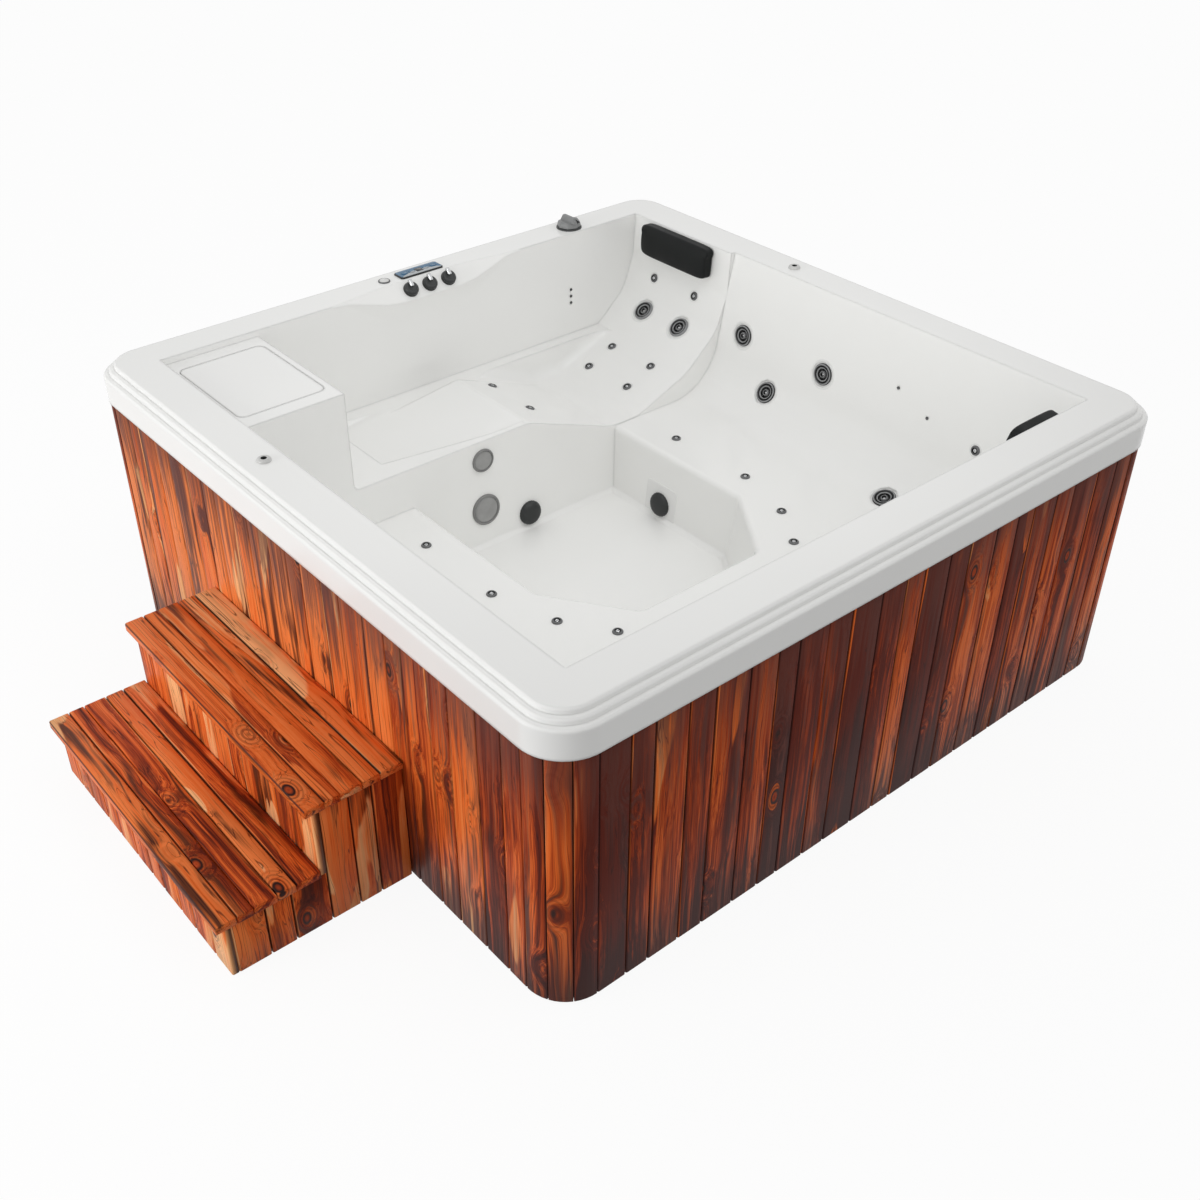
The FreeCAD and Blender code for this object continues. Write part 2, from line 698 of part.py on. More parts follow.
def valve_facet():
    """Sloping ledge for the air valves: what is added behind it, the swell, and what is cut above it."""
    high = -OPENING - VALVE_FACET_TOP
    low = TOP - VALVE_FACET_DROP
    back = high - 1.5 * SHELL_WALL
    overlap = SHELL_WALL / 10
    backing = [
        (back, TOP), (back, TOP - 2 * SHELL_WALL), (-OPENING - SHELL_WALL, low - SHELL_WALL),
        (-OPENING + overlap, low - SHELL_WALL), (-OPENING + overlap, TOP),
    ]
    swell = [
        (-OPENING - overlap, low - FACET_SWELL), (FACET_LOW_X, low), (FACET_LOW_X, TOP),
        (-OPENING - overlap, TOP),
    ]
    clear = FACET_LOW_X + VALVE_FACET_DROP
    cut = [(high, TOP), (FACET_LOW_X, low), (clear, low), (clear, ABOVE), (high, ABOVE)]
    return tapered_run(backing), tapered_run(swell), tapered_run(cut)


def rim_plate(inset, z0, z1):
    half = HALF - inset
    return rounded_block(-half, half, -half, half, z0, z1, RIM_CORNER_RADIUS - inset)


def rim_hollow(inset, top):
    half = HALF - inset
    points = clipped_points(-half, half, -half, half, RIM_CORNER_RADIUS)
    return stacked([(points, SKIRT_BOTTOM - SHELL_WALL), (points, top)])


def rim():
    """Stepped rim with its skirt, hollow underneath."""
    plates = []
    hollows = []
    for i in range(RIM_STEP_COUNT + 1):
        top = TOP - (RIM_STEP_COUNT - i) * RIM_STEP_DROP
        inset = i * RIM_STEP_WIDTH
        plate = rim_plate(inset, SKIRT_BOTTOM, top)
        plates.append(plate.makeChamfer(RIM_EDGE_ROUND, level_edges(plate, top)))
        hollows.append(rim_hollow(inset + SHELL_WALL, top - SHELL_WALL))
    return fused(plates).cut(fused([hollows[0], hollows[-1]]))


def lip_edges(space):
    """Edges where the benches turn down into the footwell."""
    picks = []
    for edge in level_edges(space, SEAT_HEIGHT):
        middle = edge.CenterOfMass
        inside = abs(middle.y) < FOOTWELL_HALF_WIDTH + 1 and middle.x < FOOTWELL_RIGHT + 1
        if inside and middle.x > LOUNGE_EDGE + 1:
            picks.append(edge)
    return picks


def acrylic_shell(cuts):
    """Rim and walls in one piece: the grown forms, less the space inside and the fittings' holes."""
    backing, swell, facet_cut = valve_facet()
    seats = fused([basin(0), footwell(0)])
    seats = seats.makeFillet(FOOTWELL_LIP_ROUND, lip_edges(seats))
    outside = fused([basin(SHELL_WALL), footwell(SHELL_WALL)] + lounger(SHELL_WALL) + filter_box_outside())
    outside = outside.common(block(-HALF, HALF, -HALF, HALF, 0, TOP))
    shell = rim().multiFuse([outside, backing])
    for space in [seats] + lounger(0) + filter_box_space():
        shell = shell.cut(space)
    shell = shell.fuse(swell).cut(facet_cut)
    return shell.cut(group(cuts)).removeSplitter()


# Places of the fittings on the shell's inner faces


def on_back_wall(x, z, side):
    """Point and normal on the +Y (side 1) or -Y (side -1) bench wall."""
    point = Vector(x, side * back_wall(z), z)
    return point, Vector(0, -side * math.cos(BACK_SLOPE), math.sin(BACK_SLOPE))


def on_right_wall(y, z):
    point = Vector(back_wall(z), y, z)
    return point, Vector(-math.cos(BACK_SLOPE), 0, math.sin(BACK_SLOPE))


def on_back_curve(x, inset, side):
    """Point and normal on the round between a side bench and its wall, at a distance from the wall's foot."""
    foot = back_wall(SEAT_HEIGHT)
    run = SEAT_ROUND * math.tan((math.pi / 2 - BACK_SLOPE) / 2)
    middle = Vector(x, foot - run, SEAT_HEIGHT + SEAT_ROUND)
    y = foot - inset
    point = Vector(x, y, middle.z - math.sqrt(SEAT_ROUND ** 2 - (y - middle.y) ** 2))
    normal = (middle - point).normalize()
    return Vector(x, side * point.y, point.z), Vector(0, side * normal.y, normal.z)


def on_bed(x, y, z):
    """Nearest point of the lounger's bed to (y, z), with the normal pointing out of it."""
    wire = outline(BED_POINTS, BED_RADII, across(x))
    wanted = Vector(x, y, z)
    edge = min(wire.Edges, key=lambda e: Part.Vertex(wanted).distToShape(e)[0])
    point = Part.Vertex(wanted).distToShape(edge)[1][0][1]
    tangent = edge.tangentAt(edge.Curve.parameter(point))
    normal = Vector(0, -tangent.z, tangent.y)
    if normal.z < 0:
        normal = normal * -1
    return point, normal


def on_footwell_left(y, z):
    if z > SEAT_HEIGHT:
        return Vector(LOUNGE_EDGE, y, z), Vector(1, 0, 0)
    point = Vector(LOUNGE_EDGE + footwell_inset(z), y, z)
    return point, Vector(math.cos(WALL_DRAFT), 0, math.sin(WALL_DRAFT))


def on_footwell_back(x, z):
    point = Vector(x, FOOTWELL_HALF_WIDTH - footwell_inset(z), z)
    return point, Vector(0, -math.cos(WALL_DRAFT), math.sin(WALL_DRAFT))


def on_bed_pair(spread, inset, z):
    """Two places on the bed, side by side, at a distance from the head wall."""
    return [on_bed(BED_MIDDLE + side * spread, OPENING - inset, z) for side in (-1, 1)]


BIG_JET_SEATS = []
for side in (1, -1):
    BIG_JET_SEATS += [on_back_wall(LOUNGE_EDGE + run, z, side) for run, z in WALL_JETS]
    BIG_JET_SEATS += [on_back_curve(LOUNGE_EDGE + LOW_WALL_JET[0], LOW_WALL_JET[1], side)]
BIG_JET_SEATS += on_bed_pair(BED_BIG_SPREAD, *BED_BIG_JET)
BIG_JET_SEATS += [on_back_curve(LOUNGE_EDGE + CURVE_JET[0], CURVE_JET[1], 1)]
SMALL_JET_SEATS = [on_back_wall(LOUNGE_EDGE + WALL_SMALL_JET[0], WALL_SMALL_JET[1], 1)]
for inset, height in BED_SMALL_JETS:
    SMALL_JET_SEATS += on_bed_pair(BED_SPREAD, inset, height)
SEAT_JET_PLACES = [(LOUNGE_EDGE + FIRST_SEAT_JET[0], FOOTWELL_HALF_WIDTH + FIRST_SEAT_JET[1])]
SEAT_JET_PLACES += [(FOOTWELL_RIGHT + x, FOOTWELL_HALF_WIDTH + y) for x, y in OTHER_SEAT_JETS]
SEAT_JET_SEATS = [(Vector(x, s * y, SEAT_HEIGHT), UP) for x, y in SEAT_JET_PLACES for s in (1, -1)]
SUCTION_HEIGHT = FLOOR_HEIGHT + FOOTWELL_FLOOR_ROUND + SUCTION_RADIUS + SUCTION_FLOOR_GAP
SUCTION_SEATS = [
    on_footwell_left(SUCTION_Y, SUCTION_HEIGHT),
    on_footwell_back(SECOND_SUCTION_X, SUCTION_HEIGHT),
]
SMALL_LIGHT_SEAT = on_footwell_left(*SMALL_LIGHT_PLACE)
MAIN_LIGHT_SEAT = on_footwell_left(*MAIN_LIGHT_PLACE)
SENSOR_HEIGHTS = [TOP - SENSOR_DROP + SENSOR_PITCH * i for i in range(SENSOR_COUNT)]
SENSOR_SEATS = [(Vector(-OPENING, OPENING - SENSOR_INSET, z), Vector(1, 0, 0)) for z in SENSOR_HEIGHTS]
SENSOR_SEATS += [on_back_wall(OPENING - inset, TOP - drop, 1) for inset, drop in WALL_SENSORS]
FOUNTAIN_SEATS = [(Vector(FOUNTAIN_X, s * (OPENING + FOUNTAIN_INSET), TOP), UP) for s in (1, -1)]
VALVE_SEATS = [(Vector(FACET_MIDDLE[0], y, FACET_MIDDLE[1]), FACET_NORMAL) for y in VALVE_YS]
AIR_BUTTON_PLACE = Vector(PANEL_X, AIR_BUTTON_Y, TOP)
DIVERTER_PLACE = Vector(-OPENING - DIVERTER_INSET, OPENING - DIVERTER_END_INSET, TOP)


def drill(radius, low, seat, sides):
    """Many-sided cutter from a depth below a fitting's seat to well above it."""
    points = round_points(radius, sides)
    return stood(stacked([(points, -low), (points, SEAT_CLEAR)]), *seat)


def hole(radius, seat, sides):
    """Drill for a fitting's body, square to its seat."""
    return drill(radius + FIT_CLEARANCE / math.cos(math.pi / sides), CUT_DEPTH, seat, sides)


def sunk(seat, depth):
    point, normal = seat
    return point - normal * depth, normal


def panel_points(inset):
    half_x = PANEL_WIDTH / 2 - inset
    half_y = PANEL_LENGTH / 2 - inset
    sides = (PANEL_X - half_x, PANEL_X + half_x, PANEL_Y - half_y, PANEL_Y + half_y)
    return clipped_points(*sides, PANEL_CORNER)


def shell_cuts():
    """Holes and seats for every fitting."""
    cuts = []
    for seat in BIG_JET_SEATS:
        cuts.append(hole(BIG_JET_BODY_RADIUS, seat, ROUND_SIDES))
        cuts.append(drill(JET_RECESS_RADIUS, JET_RECESS_DEPTH, seat, ROUND_SIDES))
    for seat in SMALL_JET_SEATS:
        cuts.append(drill(SMALL_JET_RADIUS + SPOT_FACE_MARGIN, SPOT_FACE_DEPTH, seat, STUB_SIDES))
    for seat in SMALL_JET_SEATS + SEAT_JET_SEATS + FOUNTAIN_SEATS:
        cuts.append(hole(STUB_RADIUS, seat, STUB_SIDES))
    for seat in SUCTION_SEATS + [SMALL_LIGHT_SEAT, MAIN_LIGHT_SEAT]:
        cuts.append(hole(PIPE_RADIUS, seat, ROUND_SIDES))
    cuts += [hole(SENSOR_RADIUS, seat, STUB_SIDES) for seat in SENSOR_SEATS]
    cuts += [hole(VALVE_STEM_RADIUS, seat, ROUND_SIDES) for seat in VALVE_SEATS]
    cuts.append(hole(VALVE_STEM_RADIUS, (AIR_BUTTON_PLACE, UP), ROUND_SIDES))
    cuts.append(hole(DIVERTER_STEM_RADIUS, (DIVERTER_PLACE, UP), ROUND_SIDES))
    tail = panel_points(PANEL_TAIL_INSET - FIT_CLEARANCE)
    cuts.append(stacked([(tail, TOP - CUT_DEPTH), (tail, ABOVE)]))
    return cuts + [lounge_pillow_recess()]


# Jets and other fittings


def big_jet_body():
    """Housing with a flange on the shell and the cup that the face turns in."""
    flange = BIG_JET_FLANGE_RADIUS
    cup = (BIG_JET_FACE_RADIUS + FIT_CLEARANCE) / math.cos(math.pi / ROUND_SIDES)
    floor = -BIG_JET_CUP_DEPTH - FIT_CLEARANCE
    return turned([
        (0, -BIG_JET_LENGTH), (BIG_JET_BODY_RADIUS, -BIG_JET_LENGTH), (BIG_JET_BODY_RADIUS, 0), (flange, 0),
        (flange - JET_FLANGE_BEVEL, JET_FLANGE_HEIGHT), (cup, JET_MOUTH_HEIGHT), (cup, floor), (0, floor),
    ], ROUND_SIDES)


def big_jet_face():
    """Turning face: a grip ring, a hub with its nozzle and three spokes between them."""
    outer = BIG_JET_FACE_RADIUS
    hub = JET_HUB_RADIUS
    grip = outer - JET_GRIP_WIDTH
    dish = -JET_DISH_DEPTH
    nozzle = hub - JET_NOZZLE_BEVEL
    body = turned([
        (0, -BIG_JET_CUP_DEPTH), (outer, -BIG_JET_CUP_DEPTH), (outer - JET_GRIP_BEVEL, JET_MOUTH_HEIGHT),
        (grip, dish), (hub, dish), (nozzle, JET_NOZZLE_HEIGHT), (nozzle - JET_NOZZLE_BEVEL, 0), (0, 0),
    ], ROUND_SIDES)
    spokes = []
    half = JET_SPOKE_WIDTH / 2
    for i in range(JET_SPOKE_COUNT):
        spoke = block(nozzle, grip + JET_GRIP_BEVEL, -half, half, dish - JET_GRIP_BEVEL, JET_SPOKE_RISE)
        spoke.rotate(Vector(0, 0, 0), UP, 360 * i / JET_SPOKE_COUNT)
        spokes.append(spoke)
    return fused([body] + spokes)


def small_fitting(radius, length, height):
    """Small jet: a domed flange with a nozzle hole on a stub."""
    return turned([
        (0, -length), (STUB_RADIUS, -length), (STUB_RADIUS, 0), (radius, 0),
        (NOZZLE_RIM_SHARE * radius, height), (NOZZLE_MOUTH_SHARE * radius, height),
        (0, NOZZLE_FLOOR_SHARE * height),
    ], STUB_SIDES)


def suction_cover():
    """Domed cover with a ring of slots, on its pipe stub."""
    radius = SUCTION_RADIUS
    profile = [(0, -SUCTION_STUB), (PIPE_RADIUS, -SUCTION_STUB), (PIPE_RADIUS, 0), (radius, 0)]
    profile += [(radius - inset, z) for inset, z in SUCTION_SHOULDERS]
    dome = turned(profile + [(0, SUCTION_RISE)], ROUND_SIDES)
    half = SUCTION_SLOT_WIDTH / 2
    slots = []
    for i in range(SUCTION_SLOTS):
        slot = block(
            SUCTION_SLOT_INNER, radius - SUCTION_SLOT_MARGIN, -half, half, SUCTION_SLOT_LOW, 2 * SUCTION_RISE,
        )
        slot.rotate(Vector(0, 0, 0), UP, 360 * i / SUCTION_SLOTS)
        slots.append(slot)
    return dome.cut(group(slots))


def light(radius):
    """Lamp with a bevelled ring and a shallow lens."""
    lens = radius - LIGHT_RING_WIDTH
    return turned([
        (0, -LIGHT_STUB), (PIPE_RADIUS, -LIGHT_STUB), (PIPE_RADIUS, 0), (radius, 0), (radius, LIGHT_EDGE),
        (radius - LIGHT_BEVEL, LIGHT_HEIGHT), (lens, LIGHT_HEIGHT),
        (lens - LENS_DROP, LIGHT_HEIGHT - LENS_DROP), (0, LIGHT_HEIGHT + LENS_RISE),
    ], ROUND_SIDES)


def footwell_lights():
    small = stood(light(SMALL_LIGHT_RADIUS), *SMALL_LIGHT_SEAT)
    return [small, stood(light(MAIN_LIGHT_RADIUS), *MAIN_LIGHT_SEAT)]


def sensor():
    """Small stud with a bevelled head."""
    radius = SENSOR_RADIUS
    top = SENSOR_HEIGHT
    return turned([
        (0, -SENSOR_STUB), (radius, -SENSOR_STUB), (radius, top - SENSOR_BEVEL), (radius - SENSOR_BEVEL, top),
        (0, top),
    ], STUB_SIDES)


def fountain():
    """Rim nozzle with a round outlet."""
    radius = FOUNTAIN_RADIUS
    return turned([
        (0, -FOUNTAIN_STUB), (STUB_RADIUS, -FOUNTAIN_STUB), (STUB_RADIUS, 0), (radius, 0),
        (radius, FOUNTAIN_EDGE), (radius - FOUNTAIN_BEVEL, FOUNTAIN_HEIGHT), (FOUNTAIN_BORE, FOUNTAIN_HEIGHT),
        (FOUNTAIN_BORE, -FOUNTAIN_BORE_DEPTH), (0, -FOUNTAIN_BORE_DEPTH),
    ], STUB_SIDES)


# Controls


KEY_PITCH = (PANEL_LENGTH - 2 * PANEL_END) / (KEY_COUNT + 1)
KEY_SLOTS = [i for i in range(KEY_COUNT + 1) if i != KEY_COUNT // 2]
KEY_YS = [PANEL_Y + (i - KEY_COUNT / 2) * KEY_PITCH for i in KEY_SLOTS]
PANEL_FACE = TOP + PANEL_HEIGHT


def key_points(y, grow):
    half_x = KEY_WIDTH / 2 + grow
    half_y = KEY_LENGTH / 2 + grow
    return clipped_points(PANEL_X - half_x, PANEL_X + half_x, y - half_y, y + half_y, KEY_CORNER)


def display_block(clearance, z0, z1):
    half_x = DISPLAY_WIDTH / 2 + clearance
    half_y = DISPLAY_LENGTH / 2 + clearance
    return block(PANEL_X - half_x, PANEL_X + half_x, PANEL_Y - half_y, PANEL_Y + half_y, z0, z1)


def control_panel():
    """Panel plate with bevelled edges, its tail through the rim, and the pockets for keys and display."""
    plate = stacked([
        (panel_points(0), TOP), (panel_points(0), PANEL_FACE - PANEL_BEVEL),
        (panel_points(PANEL_BEVEL), PANEL_FACE),
    ])
    tail = panel_points(PANEL_TAIL_INSET)
    pockets = [display_block(0, PANEL_FACE - DISPLAY_THICKNESS, ABOVE)]
    for y in KEY_YS:
        pocket = key_points(y, FIT_CLEARANCE)
        pockets.append(stacked([(pocket, PANEL_FACE - KEY_DEPTH), (pocket, ABOVE)]))
    return fused([plate, stacked([(tail, TOP - PANEL_TAIL_LENGTH), (tail, TOP)])]).cut(group(pockets))


def panel_key(y):
    low = PANEL_FACE - KEY_DEPTH + KEY_TRAVEL + FIT_CLEARANCE
    high = PANEL_FACE + KEY_RISE
    sides = key_points(y, 0)
    return stacked([(sides, low), (sides, high - KEY_BEVEL), (key_points(y, -KEY_BEVEL), high)])


def air_button_ring():
    """Collar on the rim with the button's bore."""
    bore = AIR_BUTTON_RADIUS + FIT_CLEARANCE / math.cos(math.pi / ROUND_SIDES)
    outer = bore + AIR_RING_WIDTH
    ring = turned([
        (0, -AIR_RING_STUB), (VALVE_STEM_RADIUS, -AIR_RING_STUB), (VALVE_STEM_RADIUS, 0), (outer, 0),
        (outer, AIR_RING_EDGE), (bore + AIR_RING_TOP_WIDTH, AIR_RING_HEIGHT), (bore, AIR_RING_HEIGHT),
        (bore, -AIR_BUTTON_DEPTH), (0, -AIR_BUTTON_DEPTH),
    ], ROUND_SIDES)
    return stood(ring, AIR_BUTTON_PLACE, UP)


def air_button():
    radius = AIR_BUTTON_RADIUS
    low = AIR_BUTTON_TRAVEL + FIT_CLEARANCE - AIR_BUTTON_DEPTH
    high = AIR_BUTTON_HEIGHT
    button = turned([
        (0, low), (radius, low), (radius, high - AIR_BUTTON_BEVEL), (radius - AIR_BUTTON_BEVEL, high),
        (0, high + AIR_BUTTON_DOME),
    ], ROUND_SIDES)
    return stood(button, AIR_BUTTON_PLACE, UP)


VALVE_CAP_LOW = VALVE_COLLAR + FIT_CLEARANCE
VALVE_CAP_TOP = VALVE_CAP_LOW + VALVE_CAP_HEIGHT


def valve_body():
    """Stem through the ledge, with the collar that the cap turns on."""
    bevel = VALVE_COLLAR_BEVEL
    return turned([
        (0, -VALVE_STUB), (VALVE_STEM_RADIUS, -VALVE_STUB), (VALVE_STEM_RADIUS, 0), (VALVE_RADIUS, 0),
        (VALVE_RADIUS, VALVE_COLLAR - bevel), (VALVE_RADIUS - bevel, VALVE_COLLAR), (0, VALVE_COLLAR),
    ], ROUND_SIDES)


def valve_cap():
    """Turning cap with a slot for its lever."""
    radius = VALVE_RADIUS - VALVE_CAP_INSET
    bevel = VALVE_CAP_BEVEL
    cap = turned([
        (0, VALVE_CAP_LOW), (radius, VALVE_CAP_LOW), (radius, VALVE_CAP_TOP - bevel),
        (radius - bevel, VALVE_CAP_TOP), (0, VALVE_CAP_TOP + VALVE_CAP_DOME),
    ], ROUND_SIDES)
    return cap.cut(valve_lever_slot())


def valve_lever_slot():
    half = LEVER_WIDTH / 2
    low = VALVE_CAP_TOP - LEVER_SINK
    return block(-LEVER_REACH, LEVER_INNER, -half, half, low, VALVE_CAP_TOP + LEVER_SINK)


def valve_lever():
    """Bar that lies in the cap's slot and stands over its edge."""
    half = LEVER_WIDTH / 2
    low = VALVE_CAP_TOP - LEVER_SINK
    high = VALVE_CAP_TOP + LEVER_RISE
    bevel = LEVER_BEVEL
    wide = clipped_points(-LEVER_REACH, LEVER_INNER, -half, half, bevel)
    narrow = clipped_points(bevel - LEVER_REACH, LEVER_INNER - bevel, bevel - half, half - bevel, bevel)
    return stacked([(wide, low), (wide, high - 2 * bevel), (narrow, high)])


def diverter_body():
    """Stem through the rim, with the collar that the knob turns on."""
    radius = DIVERTER_RADIUS + DIVERTER_LIP
    stem = DIVERTER_STEM_RADIUS
    bevel = DIVERTER_BEVEL
    body = turned([
        (0, -DIVERTER_STUB), (stem, -DIVERTER_STUB), (stem, 0), (radius, 0), (radius, DIVERTER_COLLAR - bevel),
        (radius - bevel, DIVERTER_COLLAR), (0, DIVERTER_COLLAR),
    ], ROUND_SIDES)
    return stood(body, DIVERTER_PLACE, UP)


def diverter_knob():
    """Many-sided tapering knob with a grip bar left across its top."""
    low = DIVERTER_COLLAR + FIT_CLEARANCE
    radius = DIVERTER_RADIUS
    top = DIVERTER_HEIGHT
    depth = DIVERTER_GRIP_DEPTH
    steps = [(radius, low), (radius - DIVERTER_BEVEL, low + DIVERTER_WAIST), (radius - DIVERTER_TAPER, top)]
    knob = stacked([(round_points(r, DIVERTER_SIDES), z) for r, z in steps])
    grips = []
    for turn in (0, 180):
        grip = block(-radius, radius, DIVERTER_GRIP / 2, radius, top - depth, top + depth)
        grip.rotate(Vector(0, DIVERTER_GRIP / 2, top - depth), Vector(1, 0, 0), DIVERTER_GRIP_LEAN)
        grip.rotate(Vector(0, 0, 0), UP, turn)
        grips.append(grip)
    knob = knob.cut(group(grips))
    knob.rotate(Vector(0, 0, 0), UP, DIVERTER_REST_TURN)
    return stood(knob, DIVERTER_PLACE, UP)


# Pillows


def pillow_section(x, scale):
    """Upright section across a pillow: flat back, short sides and a crown that follows an arc."""
    half = PILLOW_HEIGHT / 2
    rise = PILLOW_THICKNESS - PILLOW_EDGE
    radius = (half * half + rise * rise) / (2 * rise)
    reach = math.asin(half / radius)
    points = [Vector(x, -half * scale, 0), Vector(x, half * scale, 0)]
    for i in range(PILLOW_CROWN_FACETS + 1):
        turn = reach * (1 - 2 * i / PILLOW_CROWN_FACETS)
        z = PILLOW_THICKNESS - radius * (1 - math.cos(turn))
        points.append(Vector(x, radius * math.sin(turn) * scale, z * scale))
    return points


def pillow(length):
    """Neck pillow lying on its back face at z = 0, crowned and drawn in towards both ends."""
    half = length / 2
    places = [(-half + inset, scale) for inset, scale in PILLOW_ENDS]
    places += [(-x, scale) for x, scale in reversed(places)]
    return ringed([pillow_section(x, scale) for x, scale in places])


def pillow_seat(point, normal, length_way, rise):
    """Place of a pillow's back face on a wall, raised off it by a little."""
    return Placement(point + normal * rise, Rotation(length_way, UP, normal, "ZXY"))


def lounge_pillow_seat(rise):
    point, normal = on_bed(BED_MIDDLE, OPENING - HEADREST_INSET, TOP - PILLOW_DROP)
    return pillow_seat(point, normal, Vector(1, 0, 0), rise)


def lounge_pillow_recess():
    """Flat moulded into the lounger's side rounds behind the pillow."""
    half_x = LOUNGE_PILLOW_LENGTH / 2 + PILLOW_MARGIN
    half_y = PILLOW_HEIGHT / 2 + PILLOW_MARGIN
    recess = block(-half_x, half_x, -half_y, half_y, 0, PILLOW_THICKNESS)
    recess.Placement = lounge_pillow_seat(0)
    return recess


def lounge_pillow():
    cushion = pillow(LOUNGE_PILLOW_LENGTH)
    cushion.Placement = lounge_pillow_seat(FIT_CLEARANCE)
    return cushion


def corner_pillow():
    point, normal = on_right_wall(OPENING - CORNER_PILLOW_INSET, TOP - CORNER_PILLOW_DROP)
    cushion = pillow(CORNER_PILLOW_LENGTH)
    cushion.Placement = pillow_seat(point, normal, Vector(0, 1, 0), FIT_CLEARANCE)
    return cushion


# Filter


def filter_lid():
    return well_block(LID_LEDGE - LID_GAP, FILTER_TOP - LID_THICKNESS, FILTER_TOP)


def filter_cartridge():
    """Pleated cylinder between two end caps, standing on the well's floor."""
    points = []
    for i in range(2 * CARTRIDGE_PLEATS):
        radius = CARTRIDGE_RADIUS - (PLEAT_INSET if i % 2 else CARTRIDGE_CAP)
        angle = math.pi * i / CARTRIDGE_PLEATS
        points.append((radius * math.cos(angle), radius * math.sin(angle)))
    pleats = stacked([(points, CARTRIDGE_CAP), (points, CARTRIDGE_LENGTH - CARTRIDGE_CAP)])
    caps = []
    for z in (0, CARTRIDGE_LENGTH - CARTRIDGE_CAP):
        rim_points = round_points(CARTRIDGE_RADIUS, 2 * ROUND_SIDES)
        caps.append(stacked([(rim_points, z), (rim_points, z + CARTRIDGE_CAP)]))
    middle = Vector((WELL_LEFT + WELL_RIGHT) / 2, (WELL_FRONT + WELL_BACK) / 2, WELL_FLOOR)
    return stood(fused([pleats] + caps), middle, UP)


# Cabinet and frame


def board_spans(start, end, nominal):
    """Places of boards of mixed widths that fill a run."""
    count = max(1, round((end - start) / nominal))
    weights = [BOARD_WIDTH_PATTERN[i % len(BOARD_WIDTH_PATTERN)] for i in range(count)]
    scale = (end - start) / sum(weights)
    spans = []
    place = start
    for weight in weights:
        spans.append((place + BOARD_GAP / 2, place + weight * scale - BOARD_GAP / 2))
        place += weight * scale
    return spans


def standing_board(x0, x1, back, front, z0, z1):
    """Upright board facing -Y, its two front edges chamfered."""
    c = BOARD_CHAMFER
    points = [(x0, front + c), (x0 + c, front), (x1 - c, front), (x1, front + c), (x1, back), (x0, back)]
    return prism(outline(points, [0] * 6, flat(z0)), Vector(0, 0, z1 - z0))


def cabinet_side(turns):
    """Boards of one side of the cabinet, turned about the middle in quarter turns from the -Y side."""
    boards = []
    high = SKIRT_BOTTOM - BOARD_RIM_GAP
    for x0, x1 in board_spans(-CORNER_CENTRE, CORNER_CENTRE, BOARD_NOMINAL_WIDTH):
        board = standing_board(x0, x1, -CABINET_INNER, -CABINET, BOARD_FLOOR_GAP, high)
        board.rotate(Vector(0, 0, 0), UP, 90 * turns)
        boards.append(board)
    return group(boards)


def stave_sector(start, end, z0, z1):
    """Ring piece round the (+X, +Y) cabinet corner between two angles."""
    outer = CABINET_CORNER_RADIUS
    inner = CABINET_CORNER_RADIUS - BOARD_THICKNESS

    def at(radius, angle):
        turn = math.radians(angle)
        return Vector(CORNER_CENTRE + radius * math.cos(turn), CORNER_CENTRE + radius * math.sin(turn), z0)

    middle = (start + end) / 2
    edges = [
        Part.Arc(at(outer, start), at(outer, middle), at(outer, end)).toShape(),
        Part.LineSegment(at(outer, end), at(inner, end)).toShape(),
        Part.Arc(at(inner, end), at(inner, middle), at(inner, start)).toShape(),
        Part.LineSegment(at(inner, start), at(outer, start)).toShape(),
    ]
    return prism(Part.Wire(edges), Vector(0, 0, z1 - z0))


def corner_staves():
    staves = []
    step = 90.0 / STAVES_PER_CORNER
    margin = math.degrees(BOARD_GAP / 2 / CABINET_CORNER_RADIUS)
    for turn in range(4):
        for i in range(STAVES_PER_CORNER):
            stave = stave_sector(
                step * i + margin, step * (i + 1) - margin, BOARD_FLOOR_GAP, SKIRT_BOTTOM - BOARD_RIM_GAP,
            )
            stave.rotate(Vector(0, 0, 0), UP, 90 * turn)
            staves.append(stave)
    return group(staves)


RAIL_LOW = BASE_PAN_THICKNESS
RAIL_TOP = RAIL_LOW + BASE_RAIL
RIM_RAIL_TOP = TOP - SHELL_WALL
RIM_RAIL_LOW = RIM_RAIL_TOP - RIM_RAIL_HEIGHT
NAILING_TOP = SKIRT_BOTTOM - NAILING_RAIL_DROP
NAILING_LOW = NAILING_TOP - NAILING_RAIL_HEIGHT
RIM_RAIL_OUTER = HALF - RIM_STEP_COUNT * RIM_STEP_WIDTH - SHELL_WALL - FIT_CLEARANCE
POST_OUTER = CABINET_INNER - NAILING_RAIL_DEPTH


def base_pan():
    """Flat pan that the whole tub stands on."""
    half = CABINET_INNER - BASE_PAN_GAP
    radius = CABINET_CORNER_RADIUS - BOARD_THICKNESS
    points = clipped_points(-half, half, -half, half, radius)
    return stacked([(points, 0), (points, BASE_PAN_THICKNESS)])


def four_turns(shape):
    copies = []
    for turn in range(4):
        copy = shape.copy()
        copy.rotate(Vector(0, 0, 0), UP, 90 * turn)
        copies.append(copy)
    return copies


def corner_blocks(z0, z1):
    """Blocks inside the rounded corners, with a facet's edge behind each joint of the staves."""
    radius = CABINET_CORNER_RADIUS - BOARD_THICKNESS - FIT_CLEARANCE
    turns = [math.radians(90 * i / STAVES_PER_CORNER) for i in range(STAVES_PER_CORNER + 1)]
    points = [(CORNER_CENTRE, CORNER_CENTRE)]
    points += [(CORNER_CENTRE + radius * math.cos(t), CORNER_CENTRE + radius * math.sin(t)) for t in turns]
    return four_turns(stacked([(points, z0), (points, z1)]))


